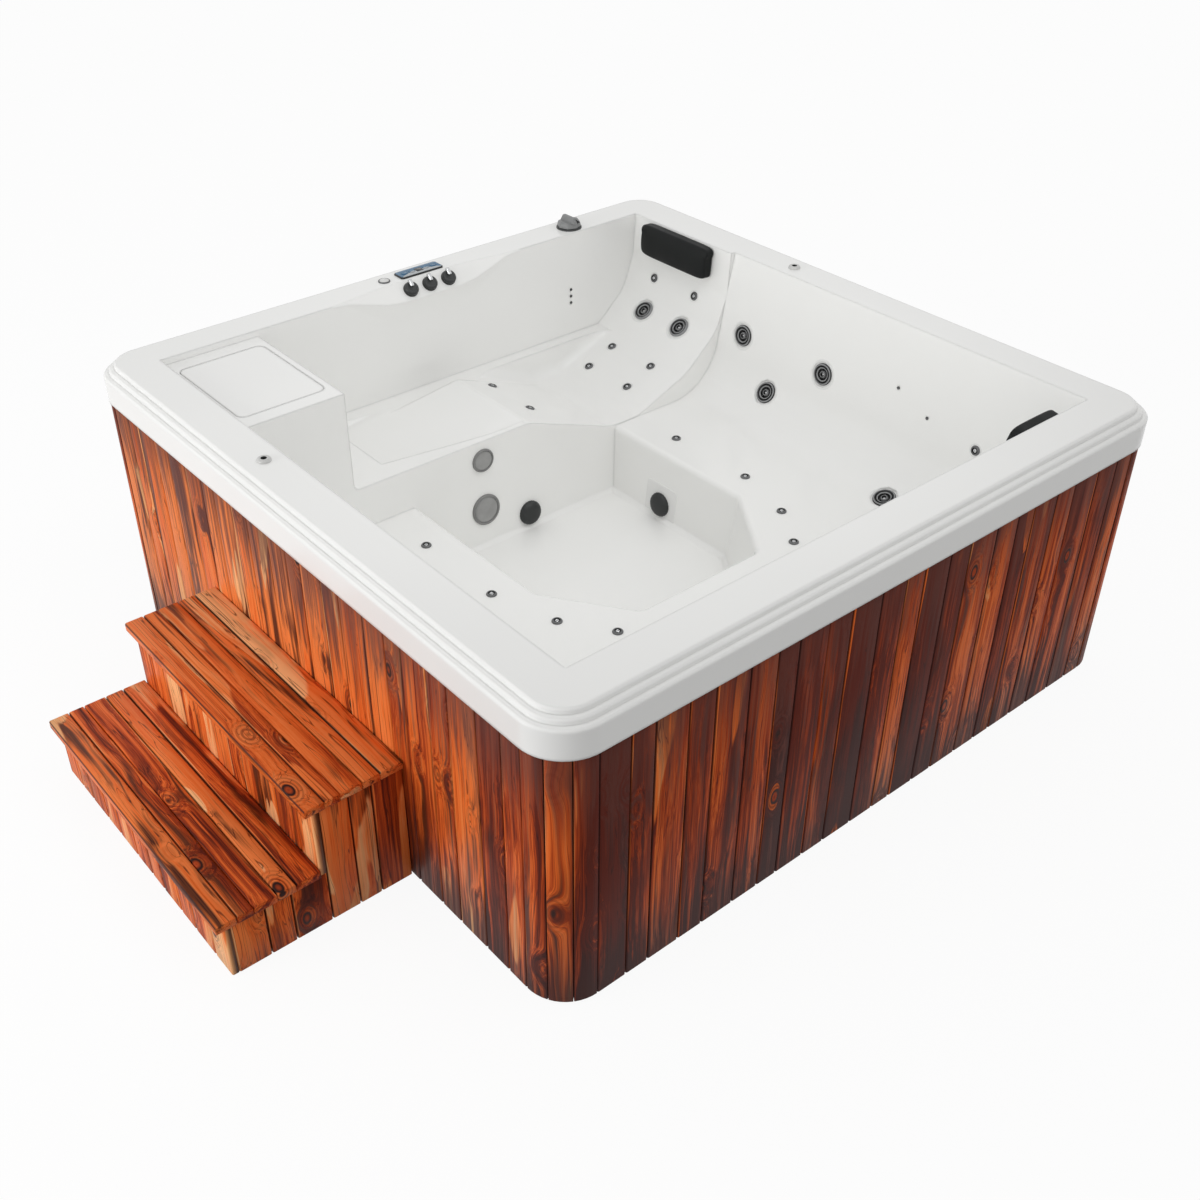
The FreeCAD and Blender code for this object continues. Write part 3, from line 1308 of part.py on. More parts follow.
def base_rails():
    """Perimeter rails with corner blocks, and the bearers that carry the footwell floor."""
    length = CORNER_CENTRE - FIT_CLEARANCE
    rail = block(-length, length, -CABINET_INNER, -CABINET_INNER + BASE_RAIL, RAIL_LOW, RAIL_TOP)
    bearers = []
    for i in (-1, 0, 1):
        middle = i * (FOOTWELL_RIGHT - BEARER_INSET)
        reach = FOOTWELL_HALF_WIDTH - FOOTWELL_CHAMFER_Y - FOOTWELL_DRAFT
        bearers.append(block(
            middle - BEARER_WIDTH / 2, middle + BEARER_WIDTH / 2, -reach, reach, RAIL_LOW,
            FLOOR_HEIGHT - SHELL_WALL,
        ))
    return group(four_turns(rail) + corner_blocks(RAIL_LOW, RAIL_TOP) + bearers)


def nailing_rails():
    length = CORNER_CENTRE - FIT_CLEARANCE
    rail = block(-length, length, -CABINET_INNER, -POST_OUTER, NAILING_LOW, NAILING_TOP)
    return group(four_turns(rail) + corner_blocks(NAILING_LOW, NAILING_TOP))


def frame_posts():
    """Posts between the base rails and the rim rails, and one under each upper corner block."""
    posts = []
    for i in (-1, 0, 1):
        x0 = i * POST_SPACING - POST_SIZE / 2
        y0 = -POST_OUTER
        posts += four_turns(block(x0, x0 + POST_SIZE, y0, y0 + POST_SIZE, RAIL_TOP, RIM_RAIL_LOW))
    low = CORNER_CENTRE + CORNER_POST_INSET
    posts += four_turns(block(low, low + POST_SIZE, low, low + POST_SIZE, RAIL_TOP, NAILING_LOW))
    return group(posts)


def rim_rails():
    """Battens under the rim that carry its weight down to the posts."""
    outer = RIM_RAIL_OUTER
    inner = outer - RIM_RAIL_WIDTH
    long_end = outer - RIM_CORNER_RADIUS
    rails = []
    for side in (-1, 1):
        y0 = min(side * inner, side * outer)
        rails.append(block(-long_end, long_end, y0, y0 + RIM_RAIL_WIDTH, RIM_RAIL_LOW, RIM_RAIL_TOP))
        rails.append(block(y0, y0 + RIM_RAIL_WIDTH, -long_end, long_end, RIM_RAIL_LOW, RIM_RAIL_TOP))
    return group(rails)


# Water and air equipment


PUMP_FRONT_X = LOUNGE_EDGE - PUMP_RUN
SECOND_PUMP_Y = FOOTWELL_HALF_WIDTH + SECOND_PUMP_RUN
PUMP_YS = [SUCTION_Y, SECOND_PUMP_Y]
PUMP_BACK_X = PUMP_FRONT_X - PUMP_BODY_LENGTH
PUMP_INLET_X = PUMP_FRONT_X + PUMP_COLLAR
DISCHARGE_X = PUMP_FRONT_X - PUMP_BODY_LENGTH / 2
SADDLE_LOW = MANIFOLD_HEIGHT - PIPE_RADIUS - SADDLE_DROP
HEATER_END_Y = SUCTION_Y - PUMP_BODY_RADIUS - HEATER_GAP
HEATER_FAR_Y = HEATER_END_Y - HEATER_LENGTH
PACK_TOP = MANIFOLD_HEIGHT - HEATER_RADIUS - PACK_TOP_GAP


def at_pump(x, y):
    return Vector(x, y, SUCTION_HEIGHT)


def at_manifold(y):
    return Vector(DISCHARGE_X, y, MANIFOLD_HEIGHT)


def pump_wet_end(y):
    """Volute housing with its inlet collar and the discharge neck on top."""
    volute = rod(PUMP_BODY_RADIUS, at_pump(PUMP_FRONT_X, y), at_pump(PUMP_BACK_X, y), ROUND_SIDES)
    collar_radius = PIPE_RADIUS + PUMP_COLLAR_WALL
    collar = rod(collar_radius, at_pump(PUMP_INLET_X, y), at_pump(DISCHARGE_X, y), PIPE_SIDES)
    neck = rod(PIPE_RADIUS, at_pump(DISCHARGE_X, y), Vector(DISCHARGE_X, y, SADDLE_LOW), PIPE_SIDES)
    return fused([volute, collar, neck])


def pump_motor(y):
    """Finned motor on its foot."""
    back = PUMP_BACK_X - PUMP_MOTOR_LENGTH
    body = rod(PUMP_MOTOR_RADIUS - MOTOR_FIN, at_pump(PUMP_BACK_X, y), at_pump(back, y), ROUND_SIDES)
    fins = []
    pitch = (PUMP_MOTOR_LENGTH - 2 * MOTOR_BARE_END) / MOTOR_FIN_COUNT
    for i in range(MOTOR_FIN_COUNT):
        x = back + MOTOR_BARE_END + i * pitch
        fins.append(rod(PUMP_MOTOR_RADIUS, at_pump(x, y), at_pump(x + pitch / 2, y), ROUND_SIDES))
    half = MOTOR_FOOT_WIDTH / 2
    foot_top = SUCTION_HEIGHT - PUMP_MOTOR_RADIUS / 2
    ends = (back + MOTOR_BARE_END, PUMP_BACK_X - MOTOR_BARE_END)
    foot = block(*ends, y - half, y + half, BASE_PAN_THICKNESS, foot_top)
    return fused([body, foot] + fins)


def water_pipes():
    """Suction lines to both pumps, and the manifold over their discharge necks."""
    starts = [point - normal * (SUCTION_STUB + PIPE_JOINT) for point, normal in SUCTION_SEATS]
    inlet = at_pump(PUMP_INLET_X, SUCTION_Y)
    run_one = rod(PIPE_RADIUS, at_pump(starts[0].x, SUCTION_Y), inlet, PIPE_SIDES)
    run_two = pipe([
        at_pump(SECOND_SUCTION_X, starts[1].y), at_pump(SECOND_SUCTION_X, SECOND_PUMP_Y),
        at_pump(PUMP_INLET_X, SECOND_PUMP_Y),
    ], PIPE_RADIUS)
    tube = rod(PIPE_RADIUS, at_manifold(HEATER_END_Y), at_manifold(SECOND_PUMP_Y + MANIFOLD_RUN), PIPE_SIDES)
    saddles = []
    for y in PUMP_YS:
        foot = Vector(DISCHARGE_X, y, SADDLE_LOW)
        saddles.append(rod(PIPE_RADIUS + SADDLE_WALL, foot, at_manifold(y), PIPE_SIDES))
    return group([run_one, run_two, fused([tube] + saddles)])


def heater_tube():
    """Steel heater barrel in line with the manifold, with a union nut at each end."""
    barrel = rod(HEATER_RADIUS, at_manifold(HEATER_END_Y), at_manifold(HEATER_FAR_Y), ROUND_SIDES)
    nuts = []
    for y in (HEATER_END_Y, HEATER_FAR_Y + HEATER_NUT):
        end = at_manifold(y - HEATER_NUT)
        nuts.append(rod(HEATER_RADIUS + HEATER_NUT_WALL, at_manifold(y), end, PIPE_SIDES))
    return fused([barrel] + nuts)


def control_pack():
    """Electrical box under the heater, with two cradles that carry it."""
    half = PACK_WIDTH / 2
    y0 = HEATER_FAR_Y + PACK_END_GAP
    y1 = HEATER_END_Y - PACK_END_GAP
    points = clipped_points(DISCHARGE_X - half, DISCHARGE_X + half, y0, y1, PACK_CORNER)
    box = stacked([(points, BASE_PAN_THICKNESS), (points, PACK_TOP)])
    cradles = []
    sides = (DISCHARGE_X - HEATER_RADIUS, DISCHARGE_X + HEATER_RADIUS)
    for y in (y0 + 2 * HEATER_NUT, y1 - 2 * HEATER_NUT - CRADLE_WIDTH):
        cradles.append(block(*sides, y, y + CRADLE_WIDTH, PACK_TOP, MANIFOLD_HEIGHT))
    barrel = rod(HEATER_RADIUS, at_manifold(HEATER_END_Y), at_manifold(HEATER_FAR_Y), ROUND_SIDES)
    return fused([box] + cradles).cut(barrel)


SEAT_JET_LENGTH = SEAT_HEIGHT - AIR_PIPE_HEIGHT - AIR_PIPE_RADIUS
BLOWER_X = LOUNGE_EDGE + BLOWER_X_RUN
BLOWER_Y = -FOOTWELL_HALF_WIDTH - BLOWER_Y_RUN


def air_pipe():
    """Ring under the benches that feeds the seat jets, coming up from the blower."""
    z = AIR_PIPE_HEIGHT
    side = SEAT_JET_PLACES[0][1]
    route = [Vector(BLOWER_X, BLOWER_Y, BASE_PAN_THICKNESS + BLOWER_HEIGHT), Vector(BLOWER_X, BLOWER_Y, z)]
    route.append(Vector(BLOWER_X, -side, z))
    route += [Vector(x, -y, z) for x, y in SEAT_JET_PLACES[1:]]
    route += [Vector(x, y, z) for x, y in reversed(SEAT_JET_PLACES[1:])]
    route.append(Vector(SEAT_JET_PLACES[0][0] - AIR_PIPE_END, side, z))
    return pipe(route, AIR_PIPE_RADIUS)


def air_blower():
    """Blower can with a stepped cap."""
    neck = AIR_PIPE_RADIUS + BLOWER_NECK_WALL
    top = BLOWER_HEIGHT
    can = turned([
        (0, 0), (BLOWER_RADIUS, 0), (BLOWER_RADIUS, top - BLOWER_SHOULDER),
        (BLOWER_RADIUS - BLOWER_CAP_INSET, top - BLOWER_CAP_DROP), (neck, top - BLOWER_NECK), (neck, top),
        (0, top),
    ], ROUND_SIDES)
    return stood(can, Vector(BLOWER_X, BLOWER_Y, BASE_PAN_THICKNESS), UP)


# Steps


STEP_LEFT = STEP_CENTRE_X - STEP_WIDTH / 2
STEP_RIGHT = STEP_CENTRE_X + STEP_WIDTH / 2
STEP_BACK = -CABINET - FIT_CLEARANCE
UPPER_FRONT = STEP_BACK - UPPER_STEP_DEPTH
LOWER_FRONT = UPPER_FRONT - LOWER_STEP_DEPTH
LOWER_UNDER = LOWER_STEP_HEIGHT - TREAD_THICKNESS
UPPER_UNDER = UPPER_STEP_HEIGHT - TREAD_THICKNESS


def tread(front, back, top):
    """Boards of one tread, laid lengthwise with eased upper edges."""
    boards = []
    c = BOARD_CHAMFER
    for y0, y1 in board_spans(front, back, TREAD_BOARD_WIDTH):
        low = top - TREAD_THICKNESS
        points = [(y0, low), (y1, low), (y1, top - c), (y1 - c, top), (y0 + c, top), (y0, top - c)]
        section = outline(points, [0] * 6, across(STEP_LEFT - TREAD_SIDE_OVERHANG))
        boards.append(prism(section, Vector(STEP_WIDTH + 2 * TREAD_SIDE_OVERHANG, 0, 0)))
    return group(boards)


def step_risers():
    boards = []
    for front, low, high in [(LOWER_FRONT, 0, LOWER_UNDER), (UPPER_FRONT, LOWER_UNDER, UPPER_UNDER)]:
        for x0, x1 in board_spans(STEP_LEFT, STEP_RIGHT, BOARD_NOMINAL_WIDTH):
            boards.append(standing_board(x0, x1, front + BOARD_THICKNESS, front, low, high))
    return group(boards)


def step_sides():
    """Upright boards on both flanks, behind the risers."""
    boards = []
    lower = board_spans(LOWER_FRONT + BOARD_THICKNESS, UPPER_FRONT + BOARD_THICKNESS, BOARD_NOMINAL_WIDTH)
    upper = board_spans(UPPER_FRONT + BOARD_THICKNESS, STEP_BACK, BOARD_NOMINAL_WIDTH)
    for spans, high in ((lower, LOWER_UNDER), (upper, UPPER_UNDER)):
        for y0, y1 in spans:
            right = standing_board(y0, y1, -STEP_RIGHT + BOARD_THICKNESS, -STEP_RIGHT, 0, high)
            right.rotate(Vector(0, 0, 0), UP, 90)
            left = standing_board(-y1, -y0, STEP_LEFT + BOARD_THICKNESS, STEP_LEFT, 0, high)
            left.rotate(Vector(0, 0, 0), UP, -90)
            boards += [right, left]
    return group(boards)


def step_frame():
    """Three stepped stringers that carry both treads."""
    front = LOWER_FRONT + BOARD_THICKNESS
    middle = UPPER_FRONT + BOARD_THICKNESS
    points = [(front, 0), (STEP_BACK, 0), (STEP_BACK, UPPER_UNDER), (middle, UPPER_UNDER)]
    points += [(middle, LOWER_UNDER), (front, LOWER_UNDER)]
    first = STEP_LEFT + BOARD_THICKNESS
    last = STEP_RIGHT - BOARD_THICKNESS - STRINGER_THICKNESS
    stringers = []
    for x in (first, (first + last) / 2, last):
        stringers.append(prism(outline(points, [0] * 6, across(x)), Vector(STRINGER_THICKNESS, 0, 0)))
    return group(stringers)


def build():
    """Every piece of the tub under its node name."""
    jet_face = big_jet_face()
    big_seats = [sunk(seat, JET_RECESS_DEPTH) for seat in BIG_JET_SEATS]
    small_seats = [sunk(seat, SPOT_FACE_DEPTH) for seat in SMALL_JET_SEATS]
    small_jet = small_fitting(SMALL_JET_RADIUS, SMALL_JET_LENGTH, SMALL_JET_HEIGHT)
    seat_jet = small_fitting(SEAT_JET_RADIUS, SEAT_JET_LENGTH, SMALL_JET_HEIGHT)
    nodes = {
        "acrylic_shell": acrylic_shell(shell_cuts()),
        "filter_lid": filter_lid(),
        "filter_cartridge": filter_cartridge(),
        "front_boards": cabinet_side(0),
        "right_boards": cabinet_side(1),
        "back_boards": cabinet_side(2),
        "left_boards": cabinet_side(3),
        "corner_staves": corner_staves(),
        "base_pan": base_pan(),
        "base_rails": base_rails(),
        "nailing_rails": nailing_rails(),
        "frame_posts": frame_posts(),
        "rim_rails": rim_rails(),
        "pump_wet_ends": group([pump_wet_end(y) for y in PUMP_YS]),
        "pump_motors": group([pump_motor(y) for y in PUMP_YS]),
        "water_pipes": water_pipes(),
        "heater_tube": heater_tube(),
        "control_pack": control_pack(),
        "air_pipe": air_pipe(),
        "air_blower": air_blower(),
        "big_jet_bodies": group([stood(big_jet_body(), *seat) for seat in big_seats]),
        "small_jets": group([stood(small_jet, *seat) for seat in small_seats]),
        "seat_air_jets": group([stood(seat_jet, *seat) for seat in SEAT_JET_SEATS]),
        "suction_covers": group([stood(suction_cover(), *seat) for seat in SUCTION_SEATS]),
        "footwell_lights": group(footwell_lights()),
        "sensor_studs": group([stood(sensor(), *seat) for seat in SENSOR_SEATS]),
        "fountain_nozzles": group([stood(fountain(), *seat) for seat in FOUNTAIN_SEATS]),
        "control_panel": control_panel(),
        "panel_display": display_block(-FIT_CLEARANCE, PANEL_FACE - DISPLAY_THICKNESS, PANEL_FACE),
        "air_button_ring": air_button_ring(),
        "air_button": air_button(),
        "air_valve_bodies": group([stood(valve_body(), *seat) for seat in VALVE_SEATS]),
        "diverter_body": diverter_body(),
        "diverter_knob": diverter_knob(),
        "lounge_pillow": lounge_pillow(),
        "corner_pillow": corner_pillow(),
        "lower_tread": tread(LOWER_FRONT - TREAD_OVERHANG, UPPER_FRONT, LOWER_STEP_HEIGHT),
        "upper_tread": tread(UPPER_FRONT - TREAD_OVERHANG, STEP_BACK, UPPER_STEP_HEIGHT),
        "step_risers": step_risers(),
        "step_sides": step_sides(),
        "step_frame": step_frame(),
    }
    for i, seat in enumerate(big_seats):
        nodes["jet_face_%d" % (i + 1)] = stood(jet_face, *seat)
    for i, y in enumerate(KEY_YS):
        nodes["panel_key_%d" % (i + 1)] = panel_key(y)
    for i, seat in enumerate(VALVE_SEATS):
        nodes["valve_cap_%d" % (i + 1)] = stood(valve_cap(), *seat)
        nodes["valve_lever_%d" % (i + 1)] = stood(valve_lever(), *seat)
    return nodes


os.makedirs("parts", exist_ok=True)
for name, shape in build().items():
    shape.exportStep("parts/%s.step" % name)
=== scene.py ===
"""Looks of a square hot tub with a lounger, a timber cabinet and steps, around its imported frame."""
import json
import math

import bmesh
import bpy
from bpy.props import FloatProperty, FloatVectorProperty, IntProperty, PointerProperty
from mathutils import Matrix, Vector

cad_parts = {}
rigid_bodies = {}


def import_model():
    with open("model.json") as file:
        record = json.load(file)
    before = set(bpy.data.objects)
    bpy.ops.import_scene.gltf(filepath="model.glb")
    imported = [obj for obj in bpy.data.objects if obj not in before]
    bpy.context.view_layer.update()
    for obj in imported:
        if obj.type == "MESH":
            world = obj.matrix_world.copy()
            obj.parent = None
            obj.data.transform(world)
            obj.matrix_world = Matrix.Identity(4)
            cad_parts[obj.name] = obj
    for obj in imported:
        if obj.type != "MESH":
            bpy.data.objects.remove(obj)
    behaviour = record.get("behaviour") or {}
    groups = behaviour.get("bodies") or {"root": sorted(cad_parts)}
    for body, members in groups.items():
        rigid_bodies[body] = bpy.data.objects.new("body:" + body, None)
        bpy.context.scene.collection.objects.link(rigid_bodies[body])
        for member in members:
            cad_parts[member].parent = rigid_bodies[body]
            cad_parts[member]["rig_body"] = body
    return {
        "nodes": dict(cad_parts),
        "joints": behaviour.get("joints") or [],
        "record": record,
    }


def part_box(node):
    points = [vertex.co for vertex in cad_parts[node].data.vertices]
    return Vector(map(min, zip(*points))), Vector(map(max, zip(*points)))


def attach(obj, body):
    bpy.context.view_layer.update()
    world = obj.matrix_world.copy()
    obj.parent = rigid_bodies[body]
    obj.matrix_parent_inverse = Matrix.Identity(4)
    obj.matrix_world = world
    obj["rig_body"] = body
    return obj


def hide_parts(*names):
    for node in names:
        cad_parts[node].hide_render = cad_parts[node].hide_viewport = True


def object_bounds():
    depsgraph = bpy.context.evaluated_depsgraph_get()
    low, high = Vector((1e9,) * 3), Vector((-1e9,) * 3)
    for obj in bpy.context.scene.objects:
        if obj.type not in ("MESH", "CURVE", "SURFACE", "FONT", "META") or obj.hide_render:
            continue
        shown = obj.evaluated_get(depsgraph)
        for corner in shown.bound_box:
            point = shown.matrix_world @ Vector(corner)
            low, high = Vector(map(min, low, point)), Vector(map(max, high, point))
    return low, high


bl_info = {
    "name": "Hot Tub",
    "version": (1, 0, 0),
    "blender": (4, 5, 0),
    "location": "View3D > Sidebar > Hot Tub",
    "description": "Dresses a hot tub's frame with acrylic, timber, jets, controls and pillows",
    "category": "Object",
}

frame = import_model()
CAD_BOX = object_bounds()
NODES = frame["nodes"]
JOINTS = {joint["child"]: joint for joint in frame["joints"]}
UP = Vector((0, 0, 1))
MAIN_BODY = "tub"
WHOLE_TURN = 2 * math.pi
GOLDEN = 0.618034
ROUND = 2.0

# Mesh clean-up: lengths in metres, angles in degrees
WELD_GAP = 2e-6
RING_GAP = 1e-5
AXIS_GAP = 1e-6
FLAT_MERGE = 0.6
FLAT_LIMIT = 0.8
ROUND_LIMIT = 25.0
SLOPE_EASE = 1e-4

# Angles, in degrees, above which an edge is shaded as sharp
CREASE = 35.0
FLAT_CREASE = 30.0
BOARD_CREASE = 50.0
SOFT_CREASE = 80.0

# Stretch of a noise texture's values over which tones and gloss change
CLOUD = (0.3, 0.7)

# Timber: repeats per metre of each texture along a board, across it and through it
KNOT_REPEATS = (4.6, 8.0, 8.0)
DRIFT_REPEATS = (1.7, 7, 7)
FINE_REPEATS = (4, 520, 520)
STREAK_REPEATS = (1.1, 85, 85)
BAND_REPEATS = (0.8, 20, 20)
LINE_REPEATS = (0.5, 70, 70)
FLOW_REPEATS = (1.3, 11, 11)
SCORCH_REPEATS = (1.3, 13, 13)
EDGE_REPEATS = (1.3, 0.0, 0.0)

# Timber: values between which each feature fades in or out
KNOT_CHANCE = (0.42, 0.44)
KNOT_REACH = (0.0, 0.5)
KNOT_CORE = (0.10, 0.13)
KNOT_RINGS = (-0.4, 0.8)
LINE_WIDTH = (0.002, 0.018)
PALE_EDGE = (1.24, 1.27)
DARK_JOINT = (0.93, 0.985)
# Heights over which the upper ends turn grey: weathering and painted shadow under the rim
WORN_AND_SHADED_HEIGHT = (0.46, 0.76)
# Heights over which the boards turn darker towards the bottom
FOOT_DARK_HEIGHT = (0.0, 0.26)
SAP_FADE = 0.02
SCORCH_FADE = 0.15

# Timber: how much each part of the grain adds
DRIFT_BEND = 0.06
KNOT_BEND = 0.05
STREAK_SHARE = 1.15
BAND_SHARE = 0.95
GRAIN_LEVEL = 0.425
FINE_SHARE = 0.5
TONE_SHARE = 0.42
CHAR_SHARE = 0.5
ROUGH_SHARES = (0.9, 0.5)
EDGE_WAVE = 0.62
RING_TURNS = 90.0
RELIEF_SHARES = (0.5, 0.8)

# Boards: the axes in the order run, width, thickness, and how far the grain of each one is moved along
UPRIGHT = (2, 0, 1)
LEVEL = (0, 1, 2)
GRAIN_MOVES = (37, 11, 23)
TONE_TURN = 7.31


def linear(red, green, blue):
    """Screen colour from 0 to 255 as the linear colour that a shader takes."""
    shares = [c / 255 for c in (red, green, blue)]
    return tuple(s / 12.92 if s <= 0.04045 else ((s + 0.055) / 1.055) ** 2.4 for s in shares)


def colour(name, about, value):
    """Setting for a colour."""
    return FloatVectorProperty(
        name=name, description=about, subtype="COLOR", size=3, min=0, max=1, default=value,
    )


def length(name, about, value):
    """Setting for a length, in metres."""
    return FloatProperty(name=name, description=about, unit="LENGTH", min=0, default=value)


def bearing(name, about, value):
    """Setting for an angle, given in degrees."""
    return FloatProperty(name=name, description=about, subtype="ANGLE", default=math.radians(value))


def amount(name, about, value, unit="NONE"):
    """Setting for the strength or the power of a light."""
    return FloatProperty(name=name, description=about, unit=unit, min=0, default=value)


class TubColours(bpy.types.PropertyGroup):
    """Colours of the tub's surfaces."""

    acrylic: colour("Acrylic", "Moulded shell", linear(250, 250, 248))
    burnt: colour("Burnt wood", "Scorched patches of the timber", linear(44, 7, 2))
    heart_dark: colour("Dark heartwood", "Darkest grain of the timber", linear(88, 24, 6))
    heart: colour("Heartwood", "Main colour of the timber", linear(172, 64, 18))
    heart_light: colour("Light heartwood", "Lightest grain of the heartwood", linear(228, 106, 40))
    sap: colour("Sapwood", "Edges of young wood", linear(238, 130, 66))
    sap_light: colour("Light sapwood", "Lightest grain of the sapwood", linear(250, 184, 126))
    # Grey of the upright boards' upper ends: weathering plus painted shadow under the rim
    weathered_and_shaded: colour("Weathered wood", "Greyed ends under the rim", linear(104, 66, 58))
    knot: colour("Knots", "Hearts of the knots", linear(40, 12, 5))
    jet_grey: colour("Jet grey", "Grey rings of the jets", linear(142, 143, 144))
    jet_black: colour("Jet black", "Dark rings of the jets", linear(26, 27, 28))
    small_jet: colour("Small jets", "Rings of the small jets", linear(104, 105, 106))
    charcoal: colour("Charcoal", "Dark mouldings", linear(42, 44, 44))
    lens: colour("Lens", "Footwell lamps", linear(150, 150, 149))
    panel_blue: colour("Panel blue", "Overlay of the control panel", linear(0, 92, 132))
    pillow: colour("Pillow", "Skin of the pillows", linear(18, 20, 20))
    knob: colour("Knob", "Diverter knob", linear(132, 133, 133))


class TubSizes(bpy.types.PropertyGroup):
    """Sizes of the detail that is added to the frame."""

    segments: IntProperty(
        name="Segments", description="Sides of the round fittings", min=12, max=96, default=48,
    )
    board_edge: length("Board edge", "Rounding of the boards' edges", 0.0012)
    small_edge: length("Small edge", "Rounding of the controls' edges", 0.0008)
    soft_edge: length("Soft edge", "Shading radius of the shell's creases", 0.012)


class TubStage(bpy.types.PropertyGroup):
    """Camera and light."""

    lens: FloatProperty(
        name="Lens", description="Focal length on a 36 mm sensor", subtype="DISTANCE_CAMERA",
        default=42.257,
    )
    place: FloatVectorProperty(
        name="Camera", description="Camera position", subtype="TRANSLATION", size=3,
        default=(2.7484, -2.4019, 2.7332),
    )
    azimuth: bearing("Azimuth", "Direction of the camera round the tub", 50.2839)
    elevation: bearing("Elevation", "Height of the camera over the horizon", 35.4537)
    shift: FloatVectorProperty(
        name="Shift", description="Offset of the picture's middle", size=2, default=(0.01633, -0.00667),
    )
    sky: amount("Sky", "Strength of the even light overhead", 0.68)
    horizon: amount("Horizon", "Strength of the even light at the horizon", 0.64)
    key: amount("Key", "Power of the large lamp on the steps' side", 135, "POWER")
    top: amount("Top", "Power of the lamp overhead", 3.2, "POWER")


class Tree:
    """Nodes of a material, or of the world, that are built step by step."""

    def __init__(self, block, shader="Principled BSDF"):
        block.use_nodes = True
        self.block = block
        self.nodes = block.node_tree.nodes
        self.shader = self.nodes[shader]

    def feed(self, socket, value):
        """Give a socket a constant or another node's output."""
        if isinstance(value, bpy.types.NodeSocket):
            self.block.node_tree.links.new(value, socket)
        elif socket.type == "RGBA":
            socket.default_value = (*value[:3], 1)
        else:
            socket.default_value = value

    def node(self, kind, inputs, **settings):
        """Add a node with its settings and inputs."""
        made = self.nodes.new("ShaderNode" + kind)
        for key, value in settings.items():
            setattr(made, key, value)
        for key, value in inputs.items():
            self.feed(made.inputs[key], value)
        return made

    def set(self, **values):
        """Set the main shader's sockets, whose names have underscores for spaces."""
        for key, value in values.items():
            self.feed(self.shader.inputs[key.replace("_", " ")], value)
        return self.block

    def place(self):
        """Place in the tub's frame, in metres."""
        return self.node("TexCoord", {}).outputs["Object"]

    def attribute(self, name, output):
        """Value that a mesh carries at its corners."""
        return self.node("Attribute", {}, attribute_name=name).outputs[output]

    def math(self, operation, first, second=0.0):
        """Result of one operation on two values."""
        return self.node("Math", {0: first, 1: second}, operation=operation).outputs[0]

    def plus(self, first, second):
        """Sum of two values."""
        return self.math("ADD", first, second)

    def times(self, first, second):
        """Product of two values."""
        return self.math("MULTIPLY", first, second)

    def swing(self, value, share, middle=0.5):
        """A share of a value's distance from its middle."""
        return self.times(self.math("SUBTRACT", value, middle), share)

    def scaled(self, vector, repeats):
        """Place as a number of repeats along each axis."""
        return self.node("VectorMath", {0: vector, 1: repeats}, operation="MULTIPLY").outputs[0]

    def noise(self, vector, repeats, detail=3.0, roughness=0.5, distortion=0.0):
        """Cloudy texture with a number of repeats per metre along each axis."""
        return self.node("TexNoise", {
            "Vector": self.scaled(vector, repeats), "Scale": 1.0, "Detail": detail, "Roughness": roughness,
            "Distortion": distortion,
        }).outputs["Fac"]

    def span(self, value, low, high, start=0.0, end=1.0):
        """Smooth step from start to end while a value goes from low to high."""
        return self.node("MapRange", {
            "Value": value, "From Min": low, "From Max": high, "To Min": start, "To Max": end,
        }, interpolation_type="SMOOTHSTEP").outputs["Result"]

    def gloss(self, cloud, low, high):
        """Roughness that follows a cloudy texture from low to high."""
        return self.span(cloud, *CLOUD, low, high)

    def ramp(self, value, stops):
        """Colour from a list of (value, colour) stops."""
        made = self.node("ValToRGB", {"Fac": value})
        elements = made.color_ramp.elements
        while len(elements) < len(stops):
            elements.new(0.5)
        for element, (position, shade) in zip(elements, stops):
            element.position = position
            element.color = (*shade, 1)
        return made.outputs["Color"]

    def tones(self, cloud, shade, dark, light=1.0):
        """Colour that follows a cloudy texture from a darker to a lighter tone of a shade."""
        ends = zip(CLOUD, (dark, light))
        return self.ramp(cloud, [(value, [min(1, c * share) for c in shade]) for value, share in ends])

    def mix(self, factor, first, second):
        """Mixture of two colours."""
        return self.node("Mix", {0: factor, 6: first, 7: second}, data_type="RGBA").outputs[2]

    def bump(self, height, strength, distance, **inputs):
        """Normal of a surface with a fine relief."""
        inputs.update(Height=height, Strength=strength, Distance=distance)
        return self.node("Bump", inputs).outputs["Normal"]

    def show(self, lit, shown, output):
        """Surface that lights the tub with one shader and shows another where it is seen or mirrored."""
        path = self.node("LightPath", {}).outputs
        seen = self.math("MAXIMUM", path["Is Camera Ray"], path["Is Transmission Ray"])
        seen = self.math("MAXIMUM", seen, path["Is Glossy Ray"])
        both = self.node("MixShader", {0: seen, 1: lit.outputs[0], 2: shown.outputs[0]})
        self.feed(self.nodes[output].inputs["Surface"], both.outputs[0])


def material_tree(name):
    """Tree of a new material."""
    return Tree(bpy.data.materials.new(name))


def even(repeats):
    """The same number of repeats along each axis."""
    return (repeats,) * 3


def moulded(name, shade, roughness, grain=900.0, strength=0.08, **settings):
    """Moulded plastic or paint: a fine skin with slightly uneven colour and gloss."""
    tree = material_tree(name)
    place = tree.place()
    cloud = tree.noise(place, even(18), detail=4)
    skin = tree.noise(place, even(grain), detail=2)
    tree.set(
        Base_Color=tree.tones(cloud, shade, dark=0.88, light=1.1),
        Roughness=tree.gloss(cloud, roughness * 0.85, min(1, roughness * 1.15)),
        Normal=tree.bump(skin, strength, distance=0.0004),
    )
    return tree.set(**settings)


